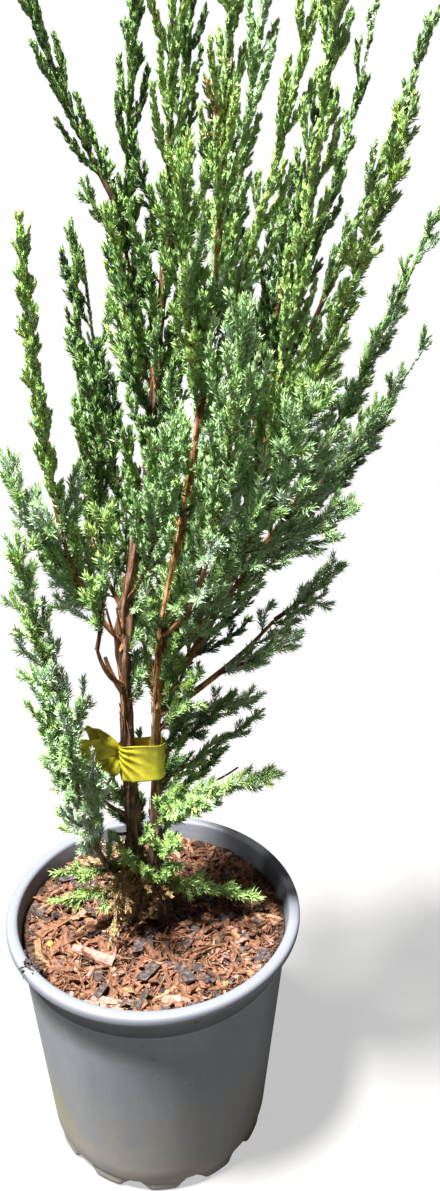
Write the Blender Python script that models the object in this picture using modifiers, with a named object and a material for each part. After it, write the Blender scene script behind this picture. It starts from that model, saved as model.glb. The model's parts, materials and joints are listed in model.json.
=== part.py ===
"""Rocky mountain juniper: a young, several-stemmed plant in a round nursery pot.

Units are metres, +Z is up, and the origin is the centre of the pot's flat underside.
The tables below hold sizes in millimetres, because a plant is measured that way.
"""
import math
import random

import bmesh
import bpy
import numpy as np
from mathutils import Vector

MM = 0.001
GAP = 0.3 * MM                 # clearance between pieces that touch
SHORTEST_EDGE = 0.01 * MM      # a fused mesh with a shorter edge, or a thinner triangle,
THINNEST_TRIANGLE = 0.002 * MM  # is grown again

# --- pot -------------------------------------------------------------------
POT_HEIGHT = 210 * MM
RIM_RADIUS = 115 * MM
WALL_TOP_RADIUS = 104.5 * MM   # outside of the wall, just under the rim
WALL_FOOT_RADIUS = 89 * MM     # outside of the wall, at the foot
WALL = 1.8 * MM
FOOT_RADIUS = 86 * MM
BASE_DISC_RADIUS = 59 * MM     # the flat middle of the underside
CHANNEL_DEPTH = 6 * MM         # drain channel between the disc and the foot ring
FLOOR = 3 * MM
LOBES = 12                     # lobes of the foot ring, with an arch between two
ARCH_WIDTH = 15 * MM
ARCH_HEIGHT = 4.5 * MM
DRAIN_HOLES = 6
DRAIN_RADIUS = 5 * MM
LINE_HEIGHT = 181 * MM         # the fine raised line that runs round under the rim
POT_STEPS = 36                 # also the mix's, so that their flats lie side by side

# --- potting mix -----------------------------------------------------------
SOIL = 194 * MM                # level of the flat patch that the stems stand on
SOIL_PATCH = 32 * MM
SOIL_EDGE = 189 * MM           # level at the pot's wall

# --- yellow tie ------------------------------------------------------------
TIE_LOW = 328 * MM
TIE_HIGH = 359 * MM
TIE_CENTRES = (Vector((-15, 0, 0)) * MM, Vector((5, -2, 0)) * MM)
TIE_RADIUS = 5.2 * MM
TIE_THICKNESS = 0.7 * MM
TAIL_REACH = 42 * MM
TAIL_WAVE = 3.2 * MM

# --- growth ----------------------------------------------------------------
SEED = 41
ATTEMPTS = 12                  # seeds tried for a mass; every second one has a twig fewer
GOLDEN = math.radians(137.5)
TWIG_ANGLE = math.radians(38)
STEM_RADIUS = 1.7 * MM         # of a mass's own stem, at its root
SPRAY_RADIUS = 4.4 * MM        # reach of the needles round a spray
CORE_RADIUS = 1.7 * MM
LEADER_STEPS = 2               # pieces between two of a leader's own points
BOUGH_STEPS = 5
AXIS_STEPS = 8
FIRST_STRETCH = 8 * MM         # a stem stays clear of the limb it leaves over this length too
SPACE_MARGIN = 0.5 * MM

# Leaders: the way each one goes, and its radius at the soil, above the flare and at its tip.
LEADERS = {
    "trunk": (
        ((-9, 5, 194.3), (-9.5, 5, 204), (-14, 3, 268), (-15, 0, 345), (-15, 1, 432), (-9, 5, 482),
         (4, 10, 551), (12, 15, 615), (18, 20, 669), (22, 21, 705)),
        (8.2, 4.9, 1.9)),
    "leader_right": (
        ((7, -2, 194.3), (6.5, -2, 203), (3, -1, 250), (5, -2, 345), (10, -9, 436), (21, -20, 505),
         (32, -30, 567), (40, -35, 623), (46, -37, 672)),
        (6.4, 4.3, 1.8)),
}

# Boughs: name, limb that carries it, height where it leaves, tip, sweep, radius at root and tip.
# A sweep of 0 is straight; more than 0 goes out first and then turns up.
BOUGHS = (
    ("leader_back", "leader_right", 398, (94, 48, 650), 0.9, 3.6, 1.8),
    ("bough_left_low", "trunk", 226, (-54, -27, 400), 1.0, 3.0, 1.6),
    ("bough_left_middle", "trunk", 404, (-32, -27, 446), 0.5, 2.3, 1.4),
    ("bough_left_high", "trunk", 436, (-53, -4, 526), 0.5, 2.6, 1.5),
    ("bough_left_back", "trunk", 458, (-37, 42, 506), 0.3, 2.4, 1.5),
    ("bough_upper_left", "trunk", 612, (-8, 42, 716), 0.1, 2.0, 1.4),
    ("bough_right_low", "leader_right", 380, (90, -3, 452), 0.2, 3.0, 1.5),
    ("bough_right_middle", "leader_right", 424, (92, -8, 524), 0.2, 2.6, 1.5),
    ("bough_right_high", "leader_right", 492, (82, -34, 570), 0.2, 2.4, 1.4),
    ("bough_right_back", "leader_back", 470, (112, 24, 540), 0.2, 2.2, 1.4),
    ("bough_right_top", "leader_back", 560, (108, 12, 640), 0.2, 2.0, 1.3),
    ("bough_back_left", "trunk", 420, (-10, 68, 500), 0.4, 2.6, 1.5),
    ("bough_back_right", "leader_back", 490, (84, 92, 560), 0.3, 2.4, 1.5),
    ("bough_front", "leader_right", 446, (40, -62, 524), 0.4, 2.5, 1.5),
)

# Foliage: name, limb, height where its stem leaves (None is the limb's tip), tip, sweep,
# length of its lowest side twigs, number of side twigs, colour.
FOLIAGE = (
    ("foliage_left_peak", "bough_upper_left", None, (-68, 50, 868), 0.2, 60, 7, "dark"),
    ("foliage_left_wand", "bough_left_high", None, (-63, -12, 712), 0.6, 34, 7, "bright"),
    ("foliage_left_spire", "bough_left_back", None, (-37, 52, 710), 0.3, 54, 7, "dark"),
    ("foliage_left_arm", "bough_left_high", 476, (-86, 2, 570), 0.3, 36, 6, "blue"),
    ("foliage_low_left_outer", "bough_left_low", None, (-79, -22, 526), 0.5, 38, 6, "blue"),
    ("foliage_low_left", "bough_left_low", 330, (-68, -34, 436), 0.9, 36, 7, "blue"),
    ("foliage_left_plume", "bough_left_middle", None, (-20, -34, 546), 0.4, 34, 6, "bright"),
    ("foliage_left_inner", "bough_left_back", 486, (-27, 28, 622), 0.4, 46, 6, "dark"),
    ("foliage_left_upper", "trunk", 588, (-12, 30, 712), 0.4, 46, 6, "dark"),
    ("foliage_top_left", "bough_upper_left", 690, (10, 42, 884), 0.0, 54, 7, "dark"),
    ("foliage_top_centre", "trunk", None, (30, 6, 902), 0.1, 62, 9, "bright"),
    ("foliage_top_back", "trunk", 668, (46, 62, 900), 0.3, 56, 7, "dark"),
    ("foliage_top_front", "leader_right", None, (62, -22, 908), 0.0, 64, 9, "bright"),
    ("foliage_top_inner", "leader_right", 636, (86, 18, 886), 0.2, 60, 7, "blue"),
    ("foliage_top_right", "leader_right", 612, (103, -34, 838), 0.2, 56, 7, "bright"),
    ("foliage_top_right_front", "bough_right_high", 556, (108, -58, 846), 0.3, 62, 9, "bright"),
    ("foliage_top_right_back", "leader_back", None, (134, 46, 864), 0.1, 60, 8, "dark"),
    ("foliage_peak_right", "leader_back", 618, (160, 76, 852), 0.3, 56, 7, "dark"),
    ("foliage_right_peak", "bough_right_top", None, (176, 4, 822), 0.1, 60, 8, "blue"),
    ("foliage_right_front", "bough_right_high", None, (152, -44, 772), 0.2, 62, 8, "bright"),
    ("foliage_right_back", "bough_right_back", None, (194, 32, 718), 0.1, 60, 8, "dark"),
    ("foliage_right_arm", "bough_right_middle", None, (182, -10, 644), 0.2, 60, 8, "blue"),
    ("foliage_right_arm_back", "bough_right_back", 500, (177, 48, 590), 0.3, 52, 6, "dark"),
    ("foliage_right_middle", "bough_right_middle", 500, (130, -36, 546), 0.3, 54, 7, "blue"),
    ("foliage_right_low", "bough_right_low", None, (138, 12, 486), 0.2, 32, 6, "blue"),
    ("foliage_right_lower", "bough_right_low", 412, (106, -20, 450), 0.2, 30, 6, "blue"),
    ("foliage_right_wisp", "leader_right", 371, (88, 30, 376), 0.2, 26, 6, "dark"),
    ("foliage_juvenile", "leader_right", 284, (92, -32, 346), -0.3, 30, 7, "juvenile"),
    ("foliage_ground_right", "leader_right", 232, (84, -8, 214), 0.2, 18, 5, "juvenile"),
    ("foliage_front_left", "trunk", 468, (16, -58, 600), 0.6, 60, 8, "blue"),
    ("foliage_front_centre", "bough_front", None, (57, -82, 664), 0.4, 60, 8, "blue"),
    ("foliage_front_right", "bough_front", 496, (92, -80, 622), 0.6, 60, 8, "blue"),
    ("foliage_front_high", "leader_right", 600, (26, -56, 742), 0.4, 54, 7, "blue"),
    ("foliage_back_left", "bough_back_left", None, (-34, 102, 690), 0.4, 60, 8, "dark"),
    ("foliage_back_centre", "bough_back_left", 476, (26, 112, 620), 0.5, 56, 7, "dark"),
    ("foliage_back_right", "bough_back_right", None, (112, 122, 730), 0.4, 60, 8, "dark"),
    ("foliage_back_high", "leader_back", 560, (60, 108, 800), 0.4, 56, 7, "dark"),
    ("foliage_back_low", "bough_back_right", 526, (140, 96, 620), 0.4, 52, 6, "dark"),
    ("foliage_foot_left", "trunk", 242, (-74, -22, 262), 0.2, 20, 5, "blue"),
    ("foliage_foot_dry", "trunk", 262, (-30, -34, 206), 0.9, 20, 6, "dry"),
)

COLOURS = {                    # base colour and roughness of each material
    "pot": ((0.24, 0.26, 0.29), 0.45),
    "mix": ((0.22, 0.10, 0.06), 0.95),
    "bark": ((0.19, 0.09, 0.045), 0.9),
    "bright": ((0.20, 0.29, 0.09), 0.6),
    "blue": ((0.12, 0.20, 0.11), 0.6),
    "dark": ((0.05, 0.11, 0.05), 0.6),
    "juvenile": ((0.17, 0.30, 0.06), 0.6),
    "dry": ((0.36, 0.22, 0.11), 0.85),
    "tie": ((0.62, 0.54, 0.04), 0.4),
}


# --- scene helpers -----------------------------------------------------------

def clear_scene():
    for thing in list(bpy.data.objects):
        bpy.data.objects.remove(thing, do_unlink=True)


def new_collection(name, parent=None):
    group = bpy.data.collections.new(name)
    (parent or bpy.context.scene.collection).children.link(group)
    return group


def material_for(name, colour):
    """Each sub-part has a material of its own, named for it."""
    base, roughness = COLOURS[colour]
    material = bpy.data.materials.new(name)
    material.use_nodes = True
    shader = material.node_tree.nodes["Principled BSDF"]
    shader.inputs["Base Color"].default_value = (*base, 1.0)
    shader.inputs["Roughness"].default_value = roughness
    shader.inputs["Metallic"].default_value = 0.0
    return material


def add_object(name, data, group, colour=None):
    thing = bpy.data.objects.new(name, data)
    group.objects.link(thing)
    if colour:
        data.materials.append(material_for(name, colour))
    return thing


def apply_modifiers(thing):
    """Replace an object's mesh by its evaluated one."""
    graph = bpy.context.evaluated_depsgraph_get()
    mesh = bpy.data.meshes.new_from_object(thing.evaluated_get(graph))
    old = thing.data
    thing.modifiers.clear()
    thing.data = mesh
    bpy.data.meshes.remove(old)


# --- turned pieces -----------------------------------------------------------

def turned(name, profile, steps, group, colour):
    """A profile of (radius, height) at +X, turned round the Z axis."""
    mesh = bpy.data.meshes.new(name)
    points = [(radius, 0.0, height) for radius, height in profile]
    mesh.from_pydata(points, [(i, i + 1) for i in range(len(points) - 1)], [])
    thing = add_object(name, mesh, group, colour)
    screw = thing.modifiers.new("turn", "SCREW")
    screw.angle = math.tau
    screw.steps = steps
    screw.render_steps = steps
    screw.use_merge_vertices = True
    screw.merge_threshold = 0.00001
    screw.use_smooth_shade = False
    return thing


def wall_radius(height):
    """Outside radius of the pot's wall at a height."""
    return WALL_FOOT_RADIUS + (WALL_TOP_RADIUS - WALL_FOOT_RADIUS) * height / LINE_HEIGHT


def pot_floor_profile(lift):
    """The inside of the floor, raised by lift: over the flat disc and over the drain channel."""
    edge = wall_radius(CHANNEL_DEPTH) - WALL - lift
    return [(0.0, FLOOR + lift),
            (BASE_DISC_RADIUS - 2 * MM - lift, FLOOR + lift),
            (BASE_DISC_RADIUS + 1 * MM - lift, CHANNEL_DEPTH + FLOOR + lift),
            (edge - 1 * MM, CHANNEL_DEPTH + FLOOR + lift)]


def make_pot(group, cutters):
    rim_roll = 4.6 * MM
    rim_centre = (RIM_RADIUS - rim_roll, POT_HEIGHT - rim_roll)
    profile = pot_floor_profile(0.0)
    profile.append((wall_radius(POT_HEIGHT * 0.9) - WALL, POT_HEIGHT * 0.9))
    for angle in (150, 100, 50, 0, -50):
        turn = math.radians(angle)
        profile.append((rim_centre[0] + rim_roll * math.cos(turn),
                        rim_centre[1] + rim_roll * math.sin(turn)))
    profile += [(WALL_TOP_RADIUS + 0.9 * MM, POT_HEIGHT - 10 * MM),
                (WALL_TOP_RADIUS + 0.2 * MM, LINE_HEIGHT + 1.6 * MM),
                (WALL_TOP_RADIUS + 0.9 * MM, LINE_HEIGHT),
                (WALL_TOP_RADIUS - 0.3 * MM, LINE_HEIGHT - 2.0 * MM),
                (wall_radius(9 * MM), 9 * MM),
                (FOOT_RADIUS + 0.6 * MM, 5.6 * MM),
                (FOOT_RADIUS, 0.0),
                (FOOT_RADIUS - 4 * MM, 0.0),
                (FOOT_RADIUS - 6 * MM, CHANNEL_DEPTH),
                (BASE_DISC_RADIUS + 3 * MM, CHANNEL_DEPTH),
                (BASE_DISC_RADIUS, 0.0),
                (0.0, 0.0)]
    pot = turned("pot", profile, POT_STEPS, group, "pot")

    for index in range(LOBES):
        turn = math.tau * (index + 0.5) / LOBES
        bpy.ops.mesh.primitive_cylinder_add(
            vertices=8, radius=1.0, depth=1.0,
            location=(FOOT_RADIUS * math.cos(turn), FOOT_RADIUS * math.sin(turn), 0.0),
            rotation=(0.0, math.pi / 2, turn))
        arch = bpy.context.object
        arch.name = f"cut_arch_{index:02d}"
        arch.scale = (ARCH_HEIGHT, ARCH_WIDTH / 2, 12 * MM)
        move_to(arch, cutters)
    for index in range(DRAIN_HOLES):
        turn = math.tau * (index + 0.5) / DRAIN_HOLES
        reach = (BASE_DISC_RADIUS + FOOT_RADIUS) / 2 - 1 * MM
        bpy.ops.mesh.primitive_cylinder_add(
            vertices=8, radius=DRAIN_RADIUS, depth=12 * MM,
            location=(reach * math.cos(turn), reach * math.sin(turn), CHANNEL_DEPTH + 2 * MM))
        hole = bpy.context.object
        hole.name = f"cut_drain_{index:02d}"
        move_to(hole, cutters)
    cut = pot.modifiers.new("arches and drains", "BOOLEAN")
    cut.operation = "DIFFERENCE"
    cut.operand_type = "COLLECTION"
    cut.collection = cutters
    return pot


def move_to(thing, group):
    """Put a cutter in its own collection and hide it."""
    for owner in list(thing.users_collection):
        owner.objects.unlink(thing)
    group.objects.link(thing)
    thing.hide_render = True
    thing.display_type = "WIRE"


def make_mix(group):
    inner_top = wall_radius(SOIL_EDGE) - WALL - GAP
    profile = [(0.0, SOIL),
               (SOIL_PATCH, SOIL),
               (inner_top * 0.9, SOIL_EDGE + 1 * MM),
               (inner_top, SOIL_EDGE)]
    floor = pot_floor_profile(GAP)
    profile += [(floor[3][0], floor[3][1])]
    profile += [(floor[2][0], floor[2][1]), (floor[1][0], floor[1][1]), (0.0, floor[0][1])]
    return turned("potting_mix", profile, POT_STEPS, group, "mix")


# --- limbs -------------------------------------------------------------------

class Limb:
    """A tapering stem: its centre line, and the radius at each of its points."""

    def __init__(self, points, radii):
        self.points = points
        self.radii = radii

    def at_height(self, height):
        """Where the centre line first reaches a height: point, radius and direction."""
        for low, high, r_low, r_high in zip(self.points, self.points[1:], self.radii, self.radii[1:]):
            if low.z <= height <= high.z:
                part = (height - low.z) / (high.z - low.z)
                return low.lerp(high, part), r_low + (r_high - r_low) * part, (high - low).normalized()
        return self.points[-1], self.radii[-1], (self.points[-1] - self.points[-2]).normalized()


def smooth_line(points, steps):
    """A Catmull-Rom curve through points, with steps pieces between two of them."""
    padded = [points[0] * 2 - points[1], *points, points[-1] * 2 - points[-2]]
    line = []
    for a, b, c, d in zip(padded, padded[1:], padded[2:], padded[3:]):
        for step in range(steps):
            t = step / steps
            line.append(0.5 * (b * 2 + (c - a) * t + (a * 2 - b * 5 + c * 4 - d) * t ** 2
                               + (b * 3 - a - c * 3 + d) * t ** 3))
    line.append(points[-1])
    return line


def swept_line(start, tip, sweep, steps):
    """The way a bough or shoot grows: it leaves at a slant and bends upwards."""
    across = tip - start
    out = 0.5 + 0.5 * sweep
    up = 0.5 - 0.3 * sweep
    bend = start + Vector((across.x * out, across.y * out, across.z * up))
    line = []
    for step in range(steps + 1):
        t = step / steps
        line.append(start * (1 - t) ** 2 + bend * 2 * t * (1 - t) + tip * t ** 2)
    return line


def ring_points(centre, direction, radius, sides, phase=0.0):
    """Points of a ring that stands square to a direction."""
    turn = direction.to_track_quat("Z", "Y")
    points = []
    for side in range(sides):
        angle = phase + math.tau * side / sides
        points.append(centre + turn @ Vector((math.cos(angle), math.sin(angle), 0.0)) * radius)
    return points


def surface_distance(limb, point):
    """How far a point lies outside a limb's round surface."""
    nearest = math.inf
    for low, high, r_low, r_high in zip(limb.points, limb.points[1:], limb.radii, limb.radii[1:]):
        span = high - low
        part = min(1.0, max(0.0, (point - low).dot(span) / span.length_squared))
        nearest = min(nearest, (point - low - span * part).length - r_low - (r_high - r_low) * part)
    return nearest


def off_limb(limb, height, aim, radius, sides):
    """Start of a stem that leaves a limb's side at a height, GAP clear of it."""
    root = limb.at_height(height)[0]
    direction = (aim - root).normalized()
    distance = 0.0
    while True:
        centre = root + direction * distance
        ring = ring_points(centre, direction, radius, sides) + [centre]
        ring += ring_points(centre + direction * FIRST_STRETCH, direction, radius, sides)
        if min(surface_distance(limb, point) for point in ring) >= 1.5 * GAP:
            return centre
        distance += 0.05 * MM


def off_tip(limb, aim, radius):
    """Start of a stem that goes on from a limb's tip, GAP clear of its end face."""
    tip = limb.points[-1]
    along = (tip - limb.points[-2]).normalized()
    slant = (aim - tip).normalized().cross(along).length
    return tip + along * (GAP + radius * slant)


def make_limb(name, limb, group, bevel_resolution):
    """A round limb, as a bevelled curve with a radius at each point."""
    curve = bpy.data.curves.new(name, "CURVE")
    curve.dimensions = "3D"
    curve.bevel_depth = limb.radii[0]
    curve.bevel_resolution = bevel_resolution
    curve.use_fill_caps = True
    spline = curve.splines.new("POLY")
    spline.points.add(len(limb.points) - 1)
    for knot, point, radius in zip(spline.points, limb.points, limb.radii):
        knot.co = (*point, 1.0)
        knot.radius = radius / limb.radii[0]
    return add_object(name, curve, group, "bark")


def grow_limbs():
    """Work out every leader and bough, in the order in which they carry each other."""
    limbs = {}
    for name, (points, (flare, base, tip)) in LEADERS.items():
        line = smooth_line([Vector(point) * MM for point in points], LEADER_STEPS)
        foot = line[0].z
        rise = line[-1].z - foot
        radii = []
        for point in line:
            part = (point.z - foot) / rise
            body = base + (tip - base) * part
            flared = (flare - base) * math.exp(-(point.z - foot) / (9 * MM))
            radii.append((body + flared) * MM)
        line[1].x, line[1].y = line[0].x, line[0].y
        limbs[name] = Limb(line, radii)
    for name, parent, height, tip, sweep, root_radius, tip_radius in BOUGHS:
        tip = Vector(tip) * MM
        root = limbs[parent].at_height(height * MM)[0]
        aim = swept_line(root, tip, sweep, BOUGH_STEPS)[1]
        start = off_limb(limbs[parent], height * MM, aim, root_radius * MM, 8)
        line = swept_line(start, tip, sweep, BOUGH_STEPS)
        radii = [(root_radius + (tip_radius - root_radius) * i / BOUGH_STEPS) * MM
                 for i in range(BOUGH_STEPS + 1)]
        limbs[name] = Limb(line, radii)
    return limbs


# --- foliage -----------------------------------------------------------------

def segments_of(line, radii):
    """A line as arrays: start, end and radius of each of its segments."""
    starts = np.array([tuple(p) for p in line[:-1]])
    ends = np.array([tuple(p) for p in line[1:]])
    return starts, ends, np.array(radii[:-1])


def distances(point, starts, ends):
    """Distance from a point to each segment."""
    span = ends - starts
    part = ((np.array(point) - starts) * span).sum(axis=1) / (span * span).sum(axis=1)
    nearest = starts + span * np.clip(part, 0.0, 1.0)[:, None]
    return np.linalg.norm(np.array(point) - nearest, axis=1)


class Spaces:
    """What a twig must keep clear of: the limbs, the tie, the soil, and other masses' spaces."""

    def __init__(self, limbs, axes):
        obstacles = [segments_of(limb.points, limb.radii) for limb in limbs.values()]
        obstacles.append(tie_obstacle())
        obstacles += tail_obstacles()
        self.solid = [np.concatenate(column) for column in zip(*obstacles)]
        names = list(axes)
        parts = [segments_of(axes[name], [0.0] * len(axes[name])) for name in names]
        self.starts = np.concatenate([part[0] for part in parts])
        self.ends = np.concatenate([part[1] for part in parts])
        self.owner = np.concatenate([[i] * len(part[0]) for i, part in enumerate(parts)])
        self.index = {name: i for i, name in enumerate(names)}

    def free(self, name, line, radius):
        """Whether a twig of a mass stays clear of everything that isn't its own."""
        own = self.index[name]
        starts, ends, radii = self.solid
        for low, high in zip(line, line[1:]):
            for part in (0.5, 1.0):
                point = low.lerp(high, part)
                if point.z - radius < SOIL + 2 * MM:
                    return False
                if (distances(point, starts, ends) - radii).min() < radius + GAP + SPACE_MARGIN / 2:
                    return False
                reach = distances(point, self.starts, self.ends)
                mine = reach[self.owner == own].min()
                others = reach[self.owner != own].min()
                if (others - mine) / 2 < radius + GAP / 2 + SPACE_MARGIN:
                    return False
        return True


def tie_obstacle():
    middle = (TIE_CENTRES[0] + TIE_CENTRES[1]) / 2
    low = middle + Vector((0, 0, TIE_LOW + 8 * MM))
    high = middle + Vector((0, 0, TIE_HIGH - 8 * MM))
    return segments_of([low, high], [18.5 * MM] * 2)


def tail_line():
    """The loose end of the tie, which waves out to the left."""
    start = TIE_CENTRES[0] + Vector((-TIE_RADIUS - TIE_THICKNESS - GAP, 0, (TIE_LOW + TIE_HIGH) / 2))
    line = []
    for step in range(9):
        part = step / 8
        wave = TAIL_WAVE * math.sin(part * 3.2 * math.pi)
        line.append(start + Vector((-TAIL_REACH * part, wave + 6 * MM * part, 5 * MM * part)))
    return line


def tail_obstacles():
    """Three rows of segments that cover the ribbon's width."""
    rows = []
    for lift in (-11, 0, 11):
        line = [point + Vector((0, 0, lift * MM)) for point in tail_line()]
        rows.append(segments_of(line, [7 * MM] * len(line)))
    return rows


def loft(name, rings):
    """A closed mesh through rings of equal size; a ring of one point is a pointed end."""
    shape = bmesh.new()
    loops = [[shape.verts.new(point) for point in ring] for ring in rings]
    if len(loops[0]) > 1:
        shape.faces.new(list(reversed(loops[0])))
    for low, high in zip(loops, loops[1:]):
        sides = max(len(low), len(high))
        for side in range(sides):
            after = (side + 1) % sides
            if len(high) == 1:
                shape.faces.new((low[side], low[after], high[0]))
            elif len(low) == 1:
                shape.faces.new((low[0], high[after], high[side]))
            else:
                shape.faces.new((low[side], low[after], high[after]))
                shape.faces.new((low[side], high[after], high[side]))
    mesh = bpy.data.meshes.new(name)
    shape.to_mesh(mesh)
    shape.free()
    return mesh


def point_on(line, part):
    """Point and direction at a part, from 0 to 1, of a line's points."""
    place = part * (len(line) - 1)
    index = min(int(place), len(line) - 2)
    return (line[index].lerp(line[index + 1], place - index),
            (line[index + 1] - line[index]).normalized())


def toothed_rings(line, bare, core, reach, tiers):
    """Rings of a three-sided spray: a slim core, and whorls of three needles that lean forward."""
    tier_length = (1.0 - bare) / (tiers + 0.5)
    rings = [[line[0]]]
    for tier in range(tiers):
        phase = math.pi / 3 * (tier % 2)
        slimming = 1.0 - 0.4 * tier / tiers
        if tier:
            rings.append(ring_at(line, bare + tier_length * (tier + 0.1), core * slimming, phase))
        rings.append(ring_at(line, bare + tier_length * (tier + 0.85), reach * slimming, phase))
    rings.append([line[-1]])
    return rings


def ring_at(line, part, radius, phase):
    centre, direction = point_on(line, part)
    return ring_points(centre, direction, radius, 3, phase)


def twig_line(root, along, side, length, slant):
    """A twig: it leaves the stem at a slant and turns to run beside it."""
    first = (along * math.cos(slant) + side * math.sin(slant)) * length * 0.55
    last = (along * math.cos(slant * 0.35) + side * math.sin(slant * 0.35)) * length * 0.45
    bend = root + first
    tip = bend + last
    return [root * (1 - t) ** 2 + bend * 2 * t * (1 - t) + tip * t ** 2 for t in (0, 0.25, 0.5, 0.75, 1)]


def side_direction(along, angle):
    """A direction square to a stem, turned round it by an angle."""
    turn = along.to_track_quat("Z", "Y")
    return turn @ Vector((math.cos(angle), math.sin(angle), 0.0))


def grow_twig(name, root, along, side, length, spaces, draws):
    """The longest twig of a few tries that stays in its mass's space, or None."""
    slant = TWIG_ANGLE * draws.uniform(0.8, 1.15)
    for shortening in (1.0, 0.8, 0.62, 0.45):
        line = twig_line(root, along, side, length * shortening, slant)
        if spaces.free(name, line[1:], SPRAY_RADIUS):
            return line
    return None


def mass_axis(limbs, row):
    """The line of a mass's own stem, from its limb to its tip."""
    name, parent, height, tip, sweep, *_ = row
    tip = Vector(tip) * MM
    limb = limbs[parent]
    if height is None:
        aim = swept_line(limb.points[-1], tip, sweep, AXIS_STEPS)[1]
        start = off_tip(limb, aim, STEM_RADIUS)
    else:
        root = limb.at_height(height * MM)[0]
        aim = swept_line(root, tip, sweep, AXIS_STEPS)[1]
        start = off_limb(limb, height * MM, aim, STEM_RADIUS, 3)
    return swept_line(start, tip, sweep, AXIS_STEPS)


def make_mass(row, axis, spaces, group):
    """One mass of foliage, grown again from another seed if its fused mesh isn't sound."""
    name, colour = row[0], row[7]
    for attempt in range(ATTEMPTS):
        draws = random.Random(f"{SEED + attempt} {name}")
        mesh = fuse_mass(row, axis, spaces, draws, fewer=attempt // 2)
        if is_sound(mesh):
            break
        bpy.data.meshes.remove(mesh)
    mesh.name = name
    mesh.materials.clear()
    return add_object(name, mesh, group, colour)


def fuse_mass(row, axis, spaces, draws, fewer):
    """A stem, side twigs that carry whorls of needles, and sprigs on the twigs, made one mesh."""
    name, side_length, twig_count = row[0], row[5] * MM, row[6] - fewer
    bare = 0.7
    rings = [ring_at(axis, bare * step / 3, STEM_RADIUS * (1 - 0.12 * step), 0.0) for step in range(4)]
    tip_line = [point_on(axis, bare + (1 - bare) * i / 6)[0] for i in range(7)]
    rings += toothed_rings(tip_line, 0.0, STEM_RADIUS * 0.7, SPRAY_RADIUS * 0.8, 2)[1:]
    pieces = new_collection(f"pieces_{name}")
    stem = add_object(f"{name}_stem", loft(name, rings), bpy.context.scene.collection)

    spin = draws.uniform(0, math.tau)
    for index in range(twig_count):
        part = 0.07 + 0.84 * (index + draws.uniform(-0.25, 0.25) + 0.5) / twig_count
        root, along = point_on(axis, part)
        length = side_length * (1.0 - 0.5 * part ** 1.5) * draws.uniform(0.85, 1.15)
        for extra_turn in (0.0, 2.1, -2.1):
            side = side_direction(along, spin + GOLDEN * index + extra_turn)
            line = grow_twig(name, root, along, side, length, spaces, draws)
            if line:
                break
        if not line:
            continue
        mesh = loft(name, toothed_rings(line, 0.15, CORE_RADIUS, SPRAY_RADIUS, 2))
        add_object(f"{name}_twig_{index}", mesh, pieces)
        if index % 3:
            continue
        sprig_root, sprig_along = point_on(line, 0.3)
        sprig_side = side_direction(sprig_along, spin + GOLDEN * (index + 2))
        sprig = grow_twig(name, sprig_root, sprig_along, sprig_side, length * 0.6, spaces, draws)
        if sprig:
            mesh = loft(name, toothed_rings(sprig, 0.1, CORE_RADIUS * 0.8, SPRAY_RADIUS * 0.8, 1))
            add_object(f"{name}_sprig_{index}", mesh, pieces)

    join = stem.modifiers.new("fuse twigs", "BOOLEAN")
    join.operation = "UNION"
    join.operand_type = "COLLECTION"
    join.solver = "MANIFOLD"
    join.collection = pieces
    apply_modifiers(stem)
    for piece in list(pieces.objects):
        bpy.data.objects.remove(piece, do_unlink=True)
    bpy.data.collections.remove(pieces)
    mesh = stem.data
    bpy.data.objects.remove(stem, do_unlink=True)
    keep_outer_shell(mesh)
    return mesh


def is_sound(mesh):
    """Whether a fused mesh is closed, with no edge too short and no triangle too thin to keep."""
    shape = bmesh.new()
    shape.from_mesh(mesh)
    short = min(edge.calc_length() for edge in shape.edges)
    thin = min(2 * face.calc_area() / max(edge.calc_length() for edge in face.edges)
               for face in shape.faces)
    bmesh.ops.remove_doubles(shape, verts=shape.verts, dist=SHORTEST_EDGE)
    closed = all(len(edge.link_faces) == 2 for edge in shape.edges)
    shape.free()
    return closed and short > SHORTEST_EDGE and thin > THINNEST_TRIANGLE


def keep_outer_shell(mesh):
    """Keep the largest shell of a fused mesh: sealed hollows are filled and loose scraps dropped."""
    shape = bmesh.new()
    shape.from_mesh(mesh)
    bmesh.ops.dissolve_limit(shape, angle_limit=math.radians(0.05), verts=shape.verts, edges=shape.edges)
    bmesh.ops.triangulate(shape, faces=shape.faces)
    unseen = set(shape.verts)
    shells = []
    while unseen:
        shell = []
        front = [unseen.pop()]
        while front:
            vert = front.pop()
            shell.append(vert)
            for edge in vert.link_edges:
                other = edge.other_vert(vert)
                if other in unseen:
                    unseen.remove(other)
                    front.append(other)
        shells.append(shell)
    shells.sort(key=len)
    for shell in shells[:-1]:
        bmesh.ops.delete(shape, geom=shell, context="VERTS")
    shape.to_mesh(mesh)
    shape.free()


# --- tie ---------------------------------------------------------------------

def band_outline(radius):
    """A loop round the two stems, at a radius from their centres."""
    first, second = TIE_CENTRES
    axis = (second - first).normalized()
    heading = math.atan2(axis.y, axis.x)
    outline = []
    for centre, begin in ((second, heading - math.pi / 2), (first, heading + math.pi / 2)):
        for step in range(7):
            angle = begin + math.pi * step / 6
            outline.append(centre + Vector((math.cos(angle), math.sin(angle), 0.0)) * radius)
    return outline


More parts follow.
